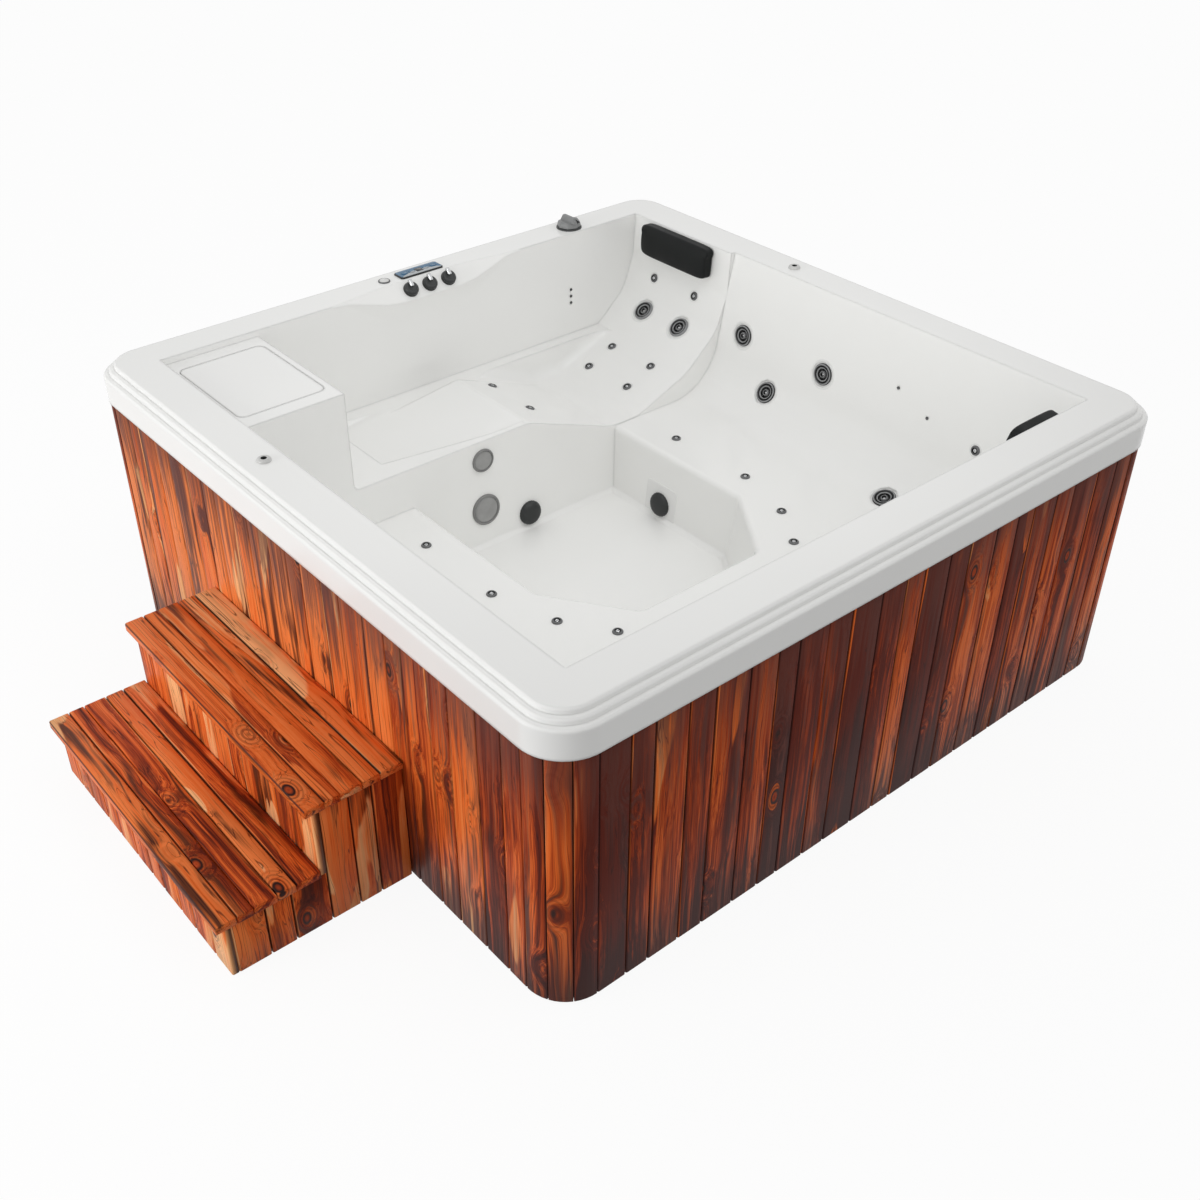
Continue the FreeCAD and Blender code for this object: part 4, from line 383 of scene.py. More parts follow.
def metal(name, shade, roughness):
    """Polished or brushed metal with faint smears."""
    tree = material_tree(name)
    smear = tree.noise(tree.place(), (40, 40, 240), detail=4)
    return tree.set(
        Base_Color=tree.tones(smear, shade, dark=0.9), Metallic=1.0,
        Roughness=tree.gloss(smear, roughness * 0.7, roughness * 1.4),
        Normal=tree.bump(smear, strength=0.05, distance=0.0003),
    )


def acrylic(colours, sizes):
    """Glossy vacuum-formed sheet with a faint ripple and softened creases."""
    tree = material_tree("acrylic")
    place = tree.place()
    ripple = tree.noise(place, even(5), detail=3)
    cloud = tree.noise(place, even(1.3), detail=3)
    soft = tree.node("Bevel", {"Radius": sizes.soft_edge}, samples=6).outputs["Normal"]
    return tree.set(
        Base_Color=tree.tones(cloud, colours.acrylic, dark=0.975),
        Roughness=tree.gloss(ripple, low=0.2, high=0.27),
        Normal=tree.bump(ripple, strength=0.05, distance=0.002, Normal=soft),
        Specular_IOR_Level=0.35, Coat_Weight=0.12, Coat_Roughness=0.08,
    )


def timber(name, colours, sapwood, scorched, upright):
    """Oiled timber: mixed tones, grain that bends round knots, pale edges and scorched patches, and on
    upright boards painted shadow under the rim.
    """
    tree = material_tree(name)
    board = tree.attribute("board", "Vector")
    tone = tree.attribute("tone", "Fac")
    rim = tree.attribute("rim", "Fac")
    # Knots are some of the cells of a scatter
    cells = tree.node("TexVoronoi", {
        "Vector": tree.scaled(board, KNOT_REPEATS), "Scale": 1.0, "Randomness": 0.9,
    })
    spread = cells.outputs["Distance"]
    chance = tree.node("SeparateColor", {"Color": cells.outputs["Color"]}).outputs[0]
    knotty = tree.span(chance, *KNOT_CHANCE)
    near = tree.times(tree.span(spread, *KNOT_REACH, start=1.0, end=0.0), knotty)
    core = tree.times(tree.span(spread, *KNOT_CORE, start=1.0, end=0.0), knotty)
    # Grain drifts across the board and bends round the knots
    drift = tree.noise(board, DRIFT_REPEATS, detail=2)
    bend = tree.plus(tree.swing(drift, DRIFT_BEND), tree.times(tree.math("POWER", near, 2.0), KNOT_BEND))
    shift = tree.node("CombineXYZ", {1: bend, 2: bend}).outputs[0]
    grain = tree.node("VectorMath", {0: board, 1: shift}, operation="ADD").outputs[0]
    fine = tree.noise(grain, FINE_REPEATS, detail=3, roughness=0.6)
    streak = tree.noise(grain, STREAK_REPEATS, detail=4, roughness=0.58)
    band = tree.noise(grain, BAND_REPEATS, detail=3, roughness=0.55)
    value = tree.plus(tree.times(streak, STREAK_SHARE), tree.times(band, BAND_SHARE))
    value = tree.math("SUBTRACT", value, GRAIN_LEVEL)
    value = tree.plus(value, tree.swing(fine, FINE_SHARE))
    # The tone carries each board's random tone plus the painted light and shade lifted in per side of the
    # cabinet
    value = tree.plus(value, tree.swing(tone, TONE_SHARE, middle=1.0))
    # Heartwood, with sapwood where the wood is young
    heart = tree.ramp(value, [
        (0.30, colours.heart_dark), (0.48, colours.heart), (0.66, colours.heart_light), (0.95, colours.sap),
    ])
    pale = tree.ramp(value, [(0.25, colours.heart_light), (0.52, colours.sap), (0.85, colours.sap_light)])
    flow = tree.noise(grain, FLOW_REPEATS, detail=2, roughness=0.4, distortion=0.6)
    young = tree.span(flow, sapwood, sapwood + SAP_FADE)
    body = tree.mix(young, heart, pale)
    # Scorched patches and thin dark lines
    scorch = tree.noise(grain, SCORCH_REPEATS, detail=3, roughness=0.55, distortion=0.4)
    char = tree.plus(scorch, tree.swing(streak, CHAR_SHARE))
    burn = tree.span(char, scorched, scorched + SCORCH_FADE, end=0.9)
    clean = tree.span(young, 0.0, 1.0, start=1.0, end=0.25)
    body = tree.mix(tree.times(burn, clean), body, colours.burnt)
    lines = tree.math("SUBTRACT", tree.noise(grain, LINE_REPEATS, detail=1), 0.5)
    lines = tree.math("ABSOLUTE", lines)
    body = tree.mix(tree.span(lines, *LINE_WIDTH, start=0.7, end=0.0), body, colours.burnt)
    # Upper ends greyed by weathering and by painted shadow under the rim; boards darker towards the bottom
    if upright:
        # Weathered upper ends and damp feet
        height = tree.node("SeparateXYZ", {0: tree.place()}).outputs[2]
        rough = tree.plus(tree.swing(streak, ROUGH_SHARES[0]), tree.swing(scorch, ROUGH_SHARES[1]))
        level = tree.plus(height, rough)
        grey = tree.mix(fine, colours.weathered_and_shaded, colours.heart_dark)
        body = tree.mix(tree.span(level, *WORN_AND_SHADED_HEIGHT, end=0.8), body, grey)
        # Boards darker towards the bottom
        body = tree.mix(tree.span(level, *FOOT_DARK_HEIGHT, start=0.9, end=0.0), body, colours.burnt)
    # A pale edge on one side of each board and dark joints between the boards
    wavy = tree.plus(rim, tree.times(tree.noise(board, EDGE_REPEATS, detail=2), EDGE_WAVE))
    body = tree.mix(tree.span(wavy, *PALE_EDGE), body, pale)
    joint = tree.math("ABSOLUTE", rim)
    body = tree.mix(tree.span(joint, *DARK_JOINT, end=0.9), body, colours.burnt)
    # Rings round the knots and the knots' hearts
    rings = tree.math("SINE", tree.times(spread, RING_TURNS))
    halo = tree.times(tree.math("POWER", near, 1.5), tree.span(rings, *KNOT_RINGS, start=0.15, end=0.9))
    body = tree.mix(halo, body, colours.heart_dark)
    eye = tree.ramp(spread, [(0.0, colours.heart_dark), (0.045, colours.heart), (0.085, colours.knot)])
    body = tree.mix(core, body, eye)
    relief = tree.plus(tree.times(fine, RELIEF_SHARES[0]), tree.times(streak, RELIEF_SHARES[1]))
    return tree.set(
        Base_Color=body, Roughness=tree.span(value, 0.3, 0.8, start=0.62, end=0.48),
        Specular_IOR_Level=0.15, Normal=tree.bump(relief, strength=0.4, distance=0.0014),
    )


def raw_timber(name, shade):
    """Rough sawn framing timber."""
    tree = material_tree(name)
    place = tree.place()
    grain = tree.noise(place, even(26), detail=6, roughness=0.65, distortion=0.6)
    saw = tree.noise(place, even(190), detail=3)
    return tree.set(
        Base_Color=tree.tones(grain, shade, dark=0.62), Roughness=0.85,
        Normal=tree.bump(saw, strength=0.3, distance=0.001),
    )


def pillow_skin(colours):
    """Black skinned foam with a fine leathery grain."""
    tree = material_tree("pillow_skin")
    place = tree.place()
    cells = tree.node("TexVoronoi", {"Vector": tree.scaled(place, even(420)), "Scale": 1.0})
    cloud = tree.noise(place, even(14), detail=3)
    return tree.set(
        Base_Color=tree.tones(cloud, colours.pillow, dark=0.8, light=1.25),
        Roughness=tree.gloss(cloud, low=0.46, high=0.6), Specular_IOR_Level=0.2,
        Normal=tree.bump(cells.outputs["Distance"], strength=0.25, distance=0.0006),
    )


def overlay(colours):
    """Keypad film: blue with a pale sweep along its inner edge."""
    tree = material_tree("panel_overlay")
    place = tree.attribute("panel", "Vector")
    parts = tree.node("SeparateXYZ", {0: place}).outputs
    arc = tree.times(tree.times(parts[1], parts[1]), SWEEP_BEND)
    sweep = tree.math("SUBTRACT", parts[0], tree.plus(arc, SWEEP_START))
    cloud = tree.noise(place, even(9), detail=2)
    film = tree.tones(cloud, colours.panel_blue, dark=0.85)
    return tree.set(
        Base_Color=tree.mix(tree.span(sweep, 0.0, SWEEP_FADE), film, linear(168, 173, 176)),
        Roughness=tree.gloss(cloud, low=0.26, high=0.34), Coat_Weight=0.3,
    )


def welded(node):
    """Copy of a CAD node's mesh with its flat faces joined up."""
    bm = bmesh.new()
    bm.from_mesh(NODES[node].data)
    bmesh.ops.remove_doubles(bm, verts=bm.verts, dist=WELD_GAP)
    bmesh.ops.dissolve_limit(bm, angle_limit=math.radians(FLAT_MERGE), verts=bm.verts, edges=bm.edges)
    bm.verts.index_update()
    return bm


def rounded(bm, width, segments):
    """Round every edge that is not nearly flat."""
    limit = math.radians(ROUND_LIMIT)
    edges = [e for e in bm.edges if len(e.link_faces) == 2 and e.calc_face_angle() > limit]
    bmesh.ops.bevel(
        bm, geom=edges, offset=width, offset_type="OFFSET", segments=segments, profile=0.5, affect="EDGES",
        clamp_overlap=False, loop_slide=True,
    )


def islands(bm):
    """Separate solids of a mesh, as lists of vertices in a settled order."""
    bm.verts.ensure_lookup_table()
    left = set(range(len(bm.verts)))
    found = []
    for start in range(len(bm.verts)):
        if start not in left:
            continue
        left.discard(start)
        stack = [bm.verts[start]]
        group = []
        while stack:
            vert = stack.pop()
            group.append(vert)
            for edge in vert.link_edges:
                other = edge.other_vert(vert)
                if other.index in left:
                    left.discard(other.index)
                    stack.append(other)
        found.append(group)
    return found


def turned_flanges(node):
    """Point, normal and radius of each round fitting of a node, where its widest flange meets the shell."""
    bm = welded(node)
    flanges = []
    for group in islands(bm):
        points = [v.co.copy() for v in group]
        faces = [f for v in group for f in v.link_faces]
        end = max(faces, key=lambda f: (len(f.verts), f.calc_area()))
        flanges.append(flange_seat(points, end.normal.copy()))
    bm.free()
    return flanges


def turned_seats(node):
    """Point and normal of each round fitting of a node."""
    return [flange[:2] for flange in turned_flanges(node)]


def flange_seat(points, axis):
    """Seat of a turned solid, at the lower edge of its widest ring, with that ring's radius."""
    middle = sum(points, Vector()) / len(points)
    heights = [(p - middle).dot(axis) for p in points]
    radii = [((p - middle) - axis * h).length for p, h in zip(points, heights)]
    widest = max(radii)
    flange = [h for h, r in zip(heights, radii) if r > widest - RING_GAP]
    if max(heights) - max(flange) > min(flange) - min(heights):
        axis = -axis
        flange = [-h for h in flange]
    return middle + axis * min(flange), axis, widest


def joint_seat(body):
    """Point and axis of the joint that carries a body."""
    joint = JOINTS[body]
    return Vector(joint["pos_m"]), Vector(joint["axis"]).normalized()


def mm(*points):
    """Profile from radii and heights in millimetres."""
    return [(radius / 1000, height / 1000) for radius, height in points]


def widened(profile, share):
    """Profile with its radii scaled and its heights kept."""
    return [(radius * share, height) for radius, height in profile]


class Lathe:
    """A mesh of turned pieces, each with its own material number."""

    def __init__(self, segments):
        self.bm = bmesh.new()
        self.segments = segments

    def turn(self, seat, profile, material=0, ribs=0, depth=0.0, blunt=ROUND):
        """Turn an (r, z) profile about a seat's normal, with ribs or squared off if asked."""
        point, normal = seat
        basis = UP.rotation_difference(normal).to_matrix().to_4x4()
        basis.translation = point
        rings = []
        for radius, height in profile:
            if radius < AXIS_GAP:
                rings.append([self.bm.verts.new(basis @ Vector((0, 0, height)))])
                continue
            ring = []
            for i in range(self.segments):
                angle = WHOLE_TURN * i / self.segments
                wave = 1 - depth * (0.5 - 0.5 * math.cos(ribs * angle)) if ribs else 1
                wave *= (abs(math.cos(angle)) ** blunt + abs(math.sin(angle)) ** blunt) ** (-1 / blunt)
                place = Vector((radius * wave * math.cos(angle), radius * wave * math.sin(angle), height))
                ring.append(self.bm.verts.new(basis @ place))
            rings.append(ring)
        for low, high in zip(rings, rings[1:]):
            for i in range(self.segments):
                corners = [low[i - 1], low[i]] if len(low) > 1 else [low[0]]
                corners += [high[i], high[i - 1]] if len(high) > 1 else [high[0]]
                face = self.bm.faces.new(corners)
                face.material_index = material

    def bar(self, seat, corners, width, turn, material=0):
        """Add a bar across a seat: an (r, z) outline of the given width, turned about the normal."""
        point, normal = seat
        basis = UP.rotation_difference(normal).to_matrix().to_4x4() @ Matrix.Rotation(turn, 4, "Z")
        basis.translation = point
        sides = []
        for y in (-width / 2, width / 2):
            sides.append([self.bm.verts.new(basis @ Vector((r, y, z))) for r, z in corners])
        made = [self.bm.faces.new(sides[0]), self.bm.faces.new(list(reversed(sides[1])))]
        for i in range(len(corners)):
            made.append(self.bm.faces.new([sides[0][i], sides[0][i - 1], sides[1][i - 1], sides[1][i]]))
        for face in made:
            face.material_index = material


def piece(name, bm, materials, body, nodes, sharp=CREASE):
    """Object from a mesh in the tub's frame, riding on a body and standing for CAD nodes."""
    bmesh.ops.recalc_face_normals(bm, faces=bm.faces)
    mesh = bpy.data.meshes.new(name)
    bm.to_mesh(mesh)
    bm.free()
    mesh.shade_smooth()
    mesh.set_sharp_from_angle(angle=math.radians(sharp))
    for material in materials:
        mesh.materials.append(material)
    made = bpy.data.objects.new(name, mesh)
    bpy.context.scene.collection.objects.link(made)
    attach(made, body)
    if nodes:
        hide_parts(*nodes)
    return made


def dressed(node, bm, materials, sharp=CREASE, name=None):
    """Piece that stands for one CAD node, on that node's body."""
    return piece(name or node + "_look", bm, materials, body_of(node), [node], sharp)


def on_shell(name, lathe):
    """Piece that is moulded on to the shell and stands for no CAD node."""
    return piece(name, lathe.bm, [bpy.data.materials["acrylic"]], MAIN_BODY, [])


def smooth_patch(start, limit, corner=None):
    """Faces that are reached over edges less sharp than a limit, everywhere or round one corner."""
    found = {start: None}
    stack = [start]
    while stack:
        for edge in stack.pop().edges:
            if corner and corner not in edge.verts:
                continue
            if len(edge.link_faces) == 2 and edge.calc_face_angle() < limit:
                for face in edge.link_faces:
                    if face not in found:
                        found[face] = None
                        stack.append(face)
    return list(found)


def flats(bm, limit):
    """Number of the flat each face belongs to: faces that meet at less than a limit are one flat."""
    number = {}
    for start in bm.faces:
        if start not in number:
            for face in smooth_patch(start, limit):
                number[face] = start.index
    return number


def even_slope(samples, way):
    """Normals over a flat as a linear function of place, fitted to samples of (point, normal, weight)."""
    middle = samples[0][0]
    reach = max((point - middle).length for point, _, _ in samples) or 1
    whole = sum(weight for _, _, weight in samples)
    across = way.orthogonal().normalized() / reach
    along = way.cross(across)
    left = Matrix.Identity(3) * SLOPE_EASE
    right = Matrix.Identity(3) * 0
    for point, normal, weight in samples:
        row = (1, (point - middle).dot(across), (point - middle).dot(along))
        for i in range(3):
            for j in range(3):
                left[i][j] += weight / whole * row[i] * row[j]
                right[i][j] += weight / whole * row[i] * normal[j]
    slope = (left.inverted() @ right).transposed()

    def normal_at(point):
        """Normal at a point of the flat."""
        row = Vector((1, (point - middle).dot(across), (point - middle).dot(along)))
        return (slope @ row).normalized()

    return normal_at


def even_normals(mesh, sharp):
    """Set corner normals that keep large flats flat and turn evenly across the strips of each round."""
    bm = bmesh.new()
    bm.from_mesh(mesh)
    limit = math.radians(sharp)
    flat_of = flats(bm, math.radians(FLAT_LIMIT))
    area = {}
    for face in bm.faces:
        area[flat_of[face]] = area.get(flat_of[face], 0) + face.calc_area()
    normals = {}
    samples = {}
    for face in bm.faces:
        sample = (face.calc_center_median(), face.normal.copy(), face.calc_area())
        samples.setdefault(flat_of[face], []).append(sample)
    for face in bm.faces:
        for loop in face.loops:
            fan = {flat_of[f]: f for f in smooth_patch(face, limit, loop.vert)}
            if len(fan) > 1:
                normal = sum((f.normal * area[k] ** 2 for k, f in fan.items()), Vector()).normalized()
                normals[loop] = normal
                samples[flat_of[face]].append((loop.vert.co.copy(), normal, area[flat_of[face]]))
    slopes = {}
    result = []
    for face in bm.faces:
        number = flat_of[face]
        for loop in face.loops:
            if loop not in normals:
                if number not in slopes:
                    slopes[number] = even_slope(samples[number], face.normal)
                normals[loop] = slopes[number](loop.vert.co)
            result.append(normals[loop].copy())
    bm.free()
    mesh.normals_split_custom_set(result)


def body_of(node):
    """Name of the body that carries a node."""
    return NODES[node]["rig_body"]


def slot_of(node):
    """Material slot that the record gives a node."""
    for part in frame["record"]["subparts"]:
        if part["node"] == node:
            return part["material_slot"]
    raise RuntimeError("no material slot for " + node)


def board_span(points, order):
    """Middle, width direction and half width of a board that runs along one axis."""
    run = Vector([1.0 if i == order[0] else 0.0 for i in range(3)])
    flat = [p - run * p.dot(run) for p in points]
    first = max(flat, key=lambda p: (p - flat[0]).length)
    second = max(flat, key=lambda p: (p - first).length)
    return (first + second) / 2, (second - first).normalized(), (second - first).length / 2


def boards(node, order, material, width, tone_and_light_lift):
    """Dress a node of boards: each has its own grain and tone, and its tone is lifted from left to right,
    which paints light and shade on the cladding.
    """
    bm = welded(node)
    groups = islands(bm)
    tones = {}
    for number, group in enumerate(groups):
        for vert in group:
            tones[vert.index] = number
    spans = [board_span([v.co.copy() for v in group], order) for group in groups]
    number_layer = bm.verts.layers.int.new("number")
    for vert in bm.verts:
        vert[number_layer] = tones[vert.index]
    rounded(bm, width, segments=1)
    place_layer = bm.verts.layers.float_vector.new("board")
    tone_layer = bm.verts.layers.float.new("tone")
    rim_layer = bm.verts.layers.float.new("rim")
    start = sum(ord(letter) for letter in node)
    for vert in bm.verts:
        seed = (start + vert[number_layer]) * GOLDEN % 1
        shift = Vector([seed * move for move in GRAIN_MOVES])
        vert[place_layer] = Vector([vert.co[i] for i in order]) + shift
        middle, way, half = spans[vert[number_layer]]
        # Painted light and shade: the tone rises or falls from the tub's left to its right
        share = ((middle.x - CAD_BOX[0].x) / (CAD_BOX[1].x - CAD_BOX[0].x)) ** PAINTED_LIGHT_TURN
        vert[tone_layer] = (seed * TONE_TURN) % 1 + tone_and_light_lift[0] + (tone_and_light_lift[1] - tone_and_light_lift[0]) * share
        side = 1 if seed > 0.5 else -1
        vert[rim_layer] = side * (vert.co - middle).dot(way) / half
    name = node.replace("_boards", "_cladding") + "_look"
    return dressed(node, bm, [material], BOARD_CREASE, name)


OPERATORS = []


def register_operator(cls):
    """Put an operator on the list of those that build the scene, in order."""
    OPERATORS.append(cls)
    return cls


@register_operator
class HOTTUB_OT_shell(bpy.types.Operator):
    """Dress the moulded shell and the filter lid"""

    bl_idname = "hottub.shell"
    bl_label = "Shell"

    def execute(self, context):
        material = acrylic(context.scene.tub_colours, context.scene.tub_sizes)
        for node in ("acrylic_shell", "filter_lid"):
            made = dressed(node, welded(node), [material], FLAT_CREASE)
            even_normals(made.data, FLAT_CREASE)
        return {"FINISHED"}


# Painted light and shade in the cladding's tone: lift at the tub's left and right, high on the lit front
# and low towards the shaded near corner and right side, and how late it turns between them
CLADDING_PAINTED_LIGHT = {
    "front_boards": (1.4, -0.3), "right_boards": (0.0, 0.0), "back_boards": (0.4, 0.2),
    "left_boards": (0.4, 0.4), "corner_staves": (0.3, -0.2),
}
# The steps' tone: an even lift, the same at both ends
STEP_LIFT = (0.64, 0.64)
PAINTED_LIGHT_TURN = 3
STEP_RUNS = {"lower_tread": LEVEL, "upper_tread": LEVEL, "step_risers": UPRIGHT, "step_sides": UPRIGHT}


@register_operator
class HOTTUB_OT_cabinet(bpy.types.Operator):
    """Dress the upright boards and the corner staves"""

    bl_idname = "hottub.cabinet"
    bl_label = "Cabinet"

    def execute(self, context):
        width = context.scene.tub_sizes.board_edge
        material = timber(
            "cabinet_timber", context.scene.tub_colours, sapwood=0.66, scorched=0.51, upright=True,
        )
        for node, tone_and_light_lift in CLADDING_PAINTED_LIGHT.items():
            boards(node, UPRIGHT, material, width, tone_and_light_lift)
        return {"FINISHED"}


@register_operator
class HOTTUB_OT_steps(bpy.types.Operator):
    """Dress the treads, risers and flanks of the steps"""

    bl_idname = "hottub.steps"
    bl_label = "Steps"

    def execute(self, context):
        width = context.scene.tub_sizes.board_edge
        material = timber(
            "step_timber", context.scene.tub_colours, sapwood=0.57, scorched=0.53, upright=False,
        )
        for node, order in STEP_RUNS.items():
            boards(node, order, material, width, STEP_LIFT)
        return {"FINISHED"}


# Profiles of the fittings: radii and heights over the seat
JET_LIP = mm((37, 0), (37, 2.2), (36.3, 4.2), (35, 5.5))
JET_RING = mm((35, 5.5), (33.8, 6.3), (32.5, 6.8), (30.8, 6.7))
JET_SINK = mm((30.8, 6.7), (28.8, 5.8), (27.2, 4.2), (26.3, 2), (26.2, -12), (0, -12))
JET_GRIP = mm((25.2, -11), (25.2, 3.4), (24.7, 4.7), (23.8, 5.3))
JET_BAND = mm((23.8, 5.3), (22.6, 5.6), (21.2, 5), (19.9, 3.4))
JET_DISH = mm((19.9, 3.4), (18.8, -1), (17.2, -3.8), (15, -5), (12.6, -5), (11.8, -3.6))
JET_HUB = mm((11.8, -3.6), (11.3, 2), (10.5, 4.4), (9.2, 5.6), (7.8, 5.6))
JET_THROAT = mm((7.8, 5.6), (6.6, 4.4), (6.2, 0.4), (5.2, -1.6))
JET_MOUTH = mm((5.2, -1.6), (3.4, 1), (0, 1.8))
JET_COLLAR = mm(
    (36.8, 0.6), (39.5, 0.2), (42, 0.8), (44, 2.1), (45.8, 3.1), (48, 3.5), (50.2, 3.3), (51.4, 2.6),
)
JET_SPOKE = mm((8.5, -6), (20.5, -6), (20.5, 2.6), (15, 0.6), (10, 2.4))
JET_SPOKES = 3
SPOKE_WIDTH = 0.0042
JET_RIBS = 9
JET_RIB_DEPTH = 0.02
BED_JETS = (7, 8)


@register_operator
class HOTTUB_OT_big_jets(bpy.types.Operator):
    """Make the large jets: moulded collars, rings and turning faces"""

    bl_idname = "hottub.big_jets"
    bl_label = "Large jets"

    def execute(self, context):
        colours = context.scene.tub_colours
        segments = context.scene.tub_sizes.segments
        grey = moulded("jet_grey", colours.jet_grey, roughness=0.34)
        dark = moulded("jet_charcoal", colours.jet_black, roughness=0.4)
        chrome = metal("jet_chrome", linear(200, 201, 203), roughness=0.14)
        rings = Lathe(segments)
        collars = Lathe(segments)
        faces = [node for node in NODES if node.startswith("jet_face_")]
        for number in range(1, 1 + len(faces)):
            node = "jet_face_%d" % number
            seat = joint_seat(body_of(node))
            outer = 0 if number in BED_JETS else 1
            rings.turn(seat, JET_LIP, outer)
            rings.turn(seat, JET_RING, 0)
            rings.turn(seat, JET_SINK, 1)
            collars.turn(seat, JET_COLLAR)
            face = Lathe(segments)
            face.turn(seat, JET_GRIP, outer, JET_RIBS, JET_RIB_DEPTH)
            face.turn(seat, JET_BAND, 0, JET_RIBS, JET_RIB_DEPTH)
            face.turn(seat, JET_DISH, 1)
            face.turn(seat, JET_HUB, 0)
            face.turn(seat, JET_THROAT, 1)
            face.turn(seat, JET_MOUTH, 2)
            for i in range(JET_SPOKES):
                face.bar(seat, JET_SPOKE, SPOKE_WIDTH, WHOLE_TURN * i / JET_SPOKES, 1)
            dressed(node, face.bm, [grey, dark, chrome])
        dressed("big_jet_bodies", rings.bm, [grey, dark], name="big_jet_rings")
        on_shell("big_jet_collars", collars)
        return {"FINISHED"}


SMALL_RING = mm((15.8, 0), (15.8, 1.6), (15, 3.6), (13.4, 5.2), (11.6, 5.8), (10, 5.4))
SMALL_GROOVE = mm((10, 5.4), (9, 3.6), (8.2, 1.4), (7, 1), (6.2, 2.2))
SMALL_NOZZLE = mm((6.2, 2.2), (5.6, 4), (4.4, 4.6), (3.2, 4), (2.6, 1.2), (0, 1))
SMALL_COLLAR = mm((15.6, 0.4), (17.2, 0.4), (18.8, 1.1), (20.4, 1.5), (21.8, 1.3), (22.6, 0.6))


@register_operator
class HOTTUB_OT_small_jets(bpy.types.Operator):
    """Make the small jets of the lounger and the air jets of the seats"""

    bl_idname = "hottub.small_jets"
    bl_label = "Small jets"

    def execute(self, context):
        colours = context.scene.tub_colours
        segments = context.scene.tub_sizes.segments // 2
        grey = moulded("small_jet_grey", colours.small_jet, roughness=0.32)
        dark = moulded("small_jet_charcoal", colours.jet_black, roughness=0.4)
        chrome = metal("small_jet_chrome", linear(214, 215, 216), roughness=0.16)
        collars = Lathe(segments)
        for node in ("small_jets", "seat_air_jets"):
            jets = Lathe(segments)
            for seat in turned_seats(node):
                for material, profile in enumerate((SMALL_RING, SMALL_GROOVE, SMALL_NOZZLE)):
                    jets.turn(seat, profile, material)
                if node == "small_jets":
                    collars.turn(seat, SMALL_COLLAR)
            dressed(node, jets.bm, [grey, dark, chrome])
            if node == "small_jets":
                on_shell("small_jet_collars", collars)
        return {"FINISHED"}


SUCTION_PAD = mm((72, 0), (71.8, 1.2), (70.8, 2), (69, 2.3), (64, 2.3), (0, 2.3))
PAD_BLUNT = 12.0
COVER_SPREAD = 1.2
COVER_RIBS = 24
COVER_RIB_DEPTH = 0.03
LAMP_SPREAD = 1.18
SUCTION_RIM = mm((35, 0), (35, 6), (34.6, 8.2), (33.4, 11.2), (31.8, 14))
SUCTION_DOME = mm((31.8, 14), (29, 17), (25.5, 19.4), (21, 21.4), (15, 22.8), (8, 23.6), (0, 23.9))
# Radii of the lamps are shares of the flange's radius
LIGHT_RING = [
    (1.0, 0.0), (1.0, 0.0038), (0.975, 0.0064), (0.93, 0.0080), (0.86, 0.0080), (0.835, 0.0068),
    (0.825, 0.0044),
]
LIGHT_LENS = [
    (0.825, 0.0044), (0.80, 0.0058), (0.70, 0.0070), (0.50, 0.0083), (0.25, 0.0092), (0.0, 0.0095),
]


@register_operator
class HOTTUB_OT_footwell(bpy.types.Operator):
    """Make the suction covers and the lamps in the footwell"""

    bl_idname = "hottub.footwell"
    bl_label = "Footwell fittings"

    def execute(self, context):
        colours = context.scene.tub_colours
        segments = 2 * context.scene.tub_sizes.segments
        dark = moulded("suction_charcoal", colours.charcoal, roughness=0.55, grain=600.0, strength=0.2)
        covers = Lathe(segments)
        seats = turned_seats("suction_covers")
        pad = Lathe(2 * segments)
        pad.turn(max(seats, key=lambda seat: seat[0].y), SUCTION_PAD, 0, blunt=PAD_BLUNT)
        on_shell("suction_pad", pad)
        for seat in seats:
            for profile in (SUCTION_RIM, SUCTION_DOME):
                covers.turn(seat, widened(profile, COVER_SPREAD), 0, COVER_RIBS, COVER_RIB_DEPTH)
        dressed("suction_covers", covers.bm, [dark])
        ring = moulded("lamp_ring", [c * 0.7 for c in colours.lens], roughness=0.34)
        lens = moulded(
            "lamp_lens", colours.lens, roughness=0.22, grain=240.0, strength=0.25, Coat_Weight=0.5,
        )
        lamps = Lathe(segments)
        for point, normal, radius in turned_flanges("footwell_lights"):
            for material, profile in enumerate((LIGHT_RING, LIGHT_LENS)):
                lamps.turn((point, normal), widened(profile, radius * LAMP_SPREAD), material)
        dressed("footwell_lights", lamps.bm, [ring, lens])
        return {"FINISHED"}


STUD = mm((5, 0), (5, 2.2), (4.2, 3.4), (2.6, 4), (0, 4))
FOUNTAIN = mm((20, 0), (20, 2.8), (19.2, 5), (17.4, 7.4), (15, 8.8), (11, 9), (8.4, 8.2))
FOUNTAIN_BORE = mm((8.4, 8.2), (7.4, 6), (7.2, -18), (0, -18.5))


@register_operator
class HOTTUB_OT_studs(bpy.types.Operator):
    """Make the sensor studs and the rim's fountain nozzles"""

    bl_idname = "hottub.studs"
    bl_label = "Studs and nozzles"

    def execute(self, context):
        colours = context.scene.tub_colours
        segments = context.scene.tub_sizes.segments // 2
        steel = metal("stud_steel", linear(96, 97, 98), roughness=0.3)
        studs = Lathe(segments)
        for seat in turned_seats("sensor_studs"):
            studs.turn(seat, STUD)
        dressed("sensor_studs", studs.bm, [steel])
        pale = moulded("nozzle_white", linear(205, 205, 203), roughness=0.3)
        dark = moulded("nozzle_bore", colours.charcoal, roughness=0.5)
        nozzles = Lathe(2 * segments)
        for seat in turned_seats("fountain_nozzles"):
            nozzles.turn(seat, FOUNTAIN, 0)
            nozzles.turn(seat, FOUNTAIN_BORE, 1)
        dressed("fountain_nozzles", nozzles.bm, [pale, dark])
        return {"FINISHED"}


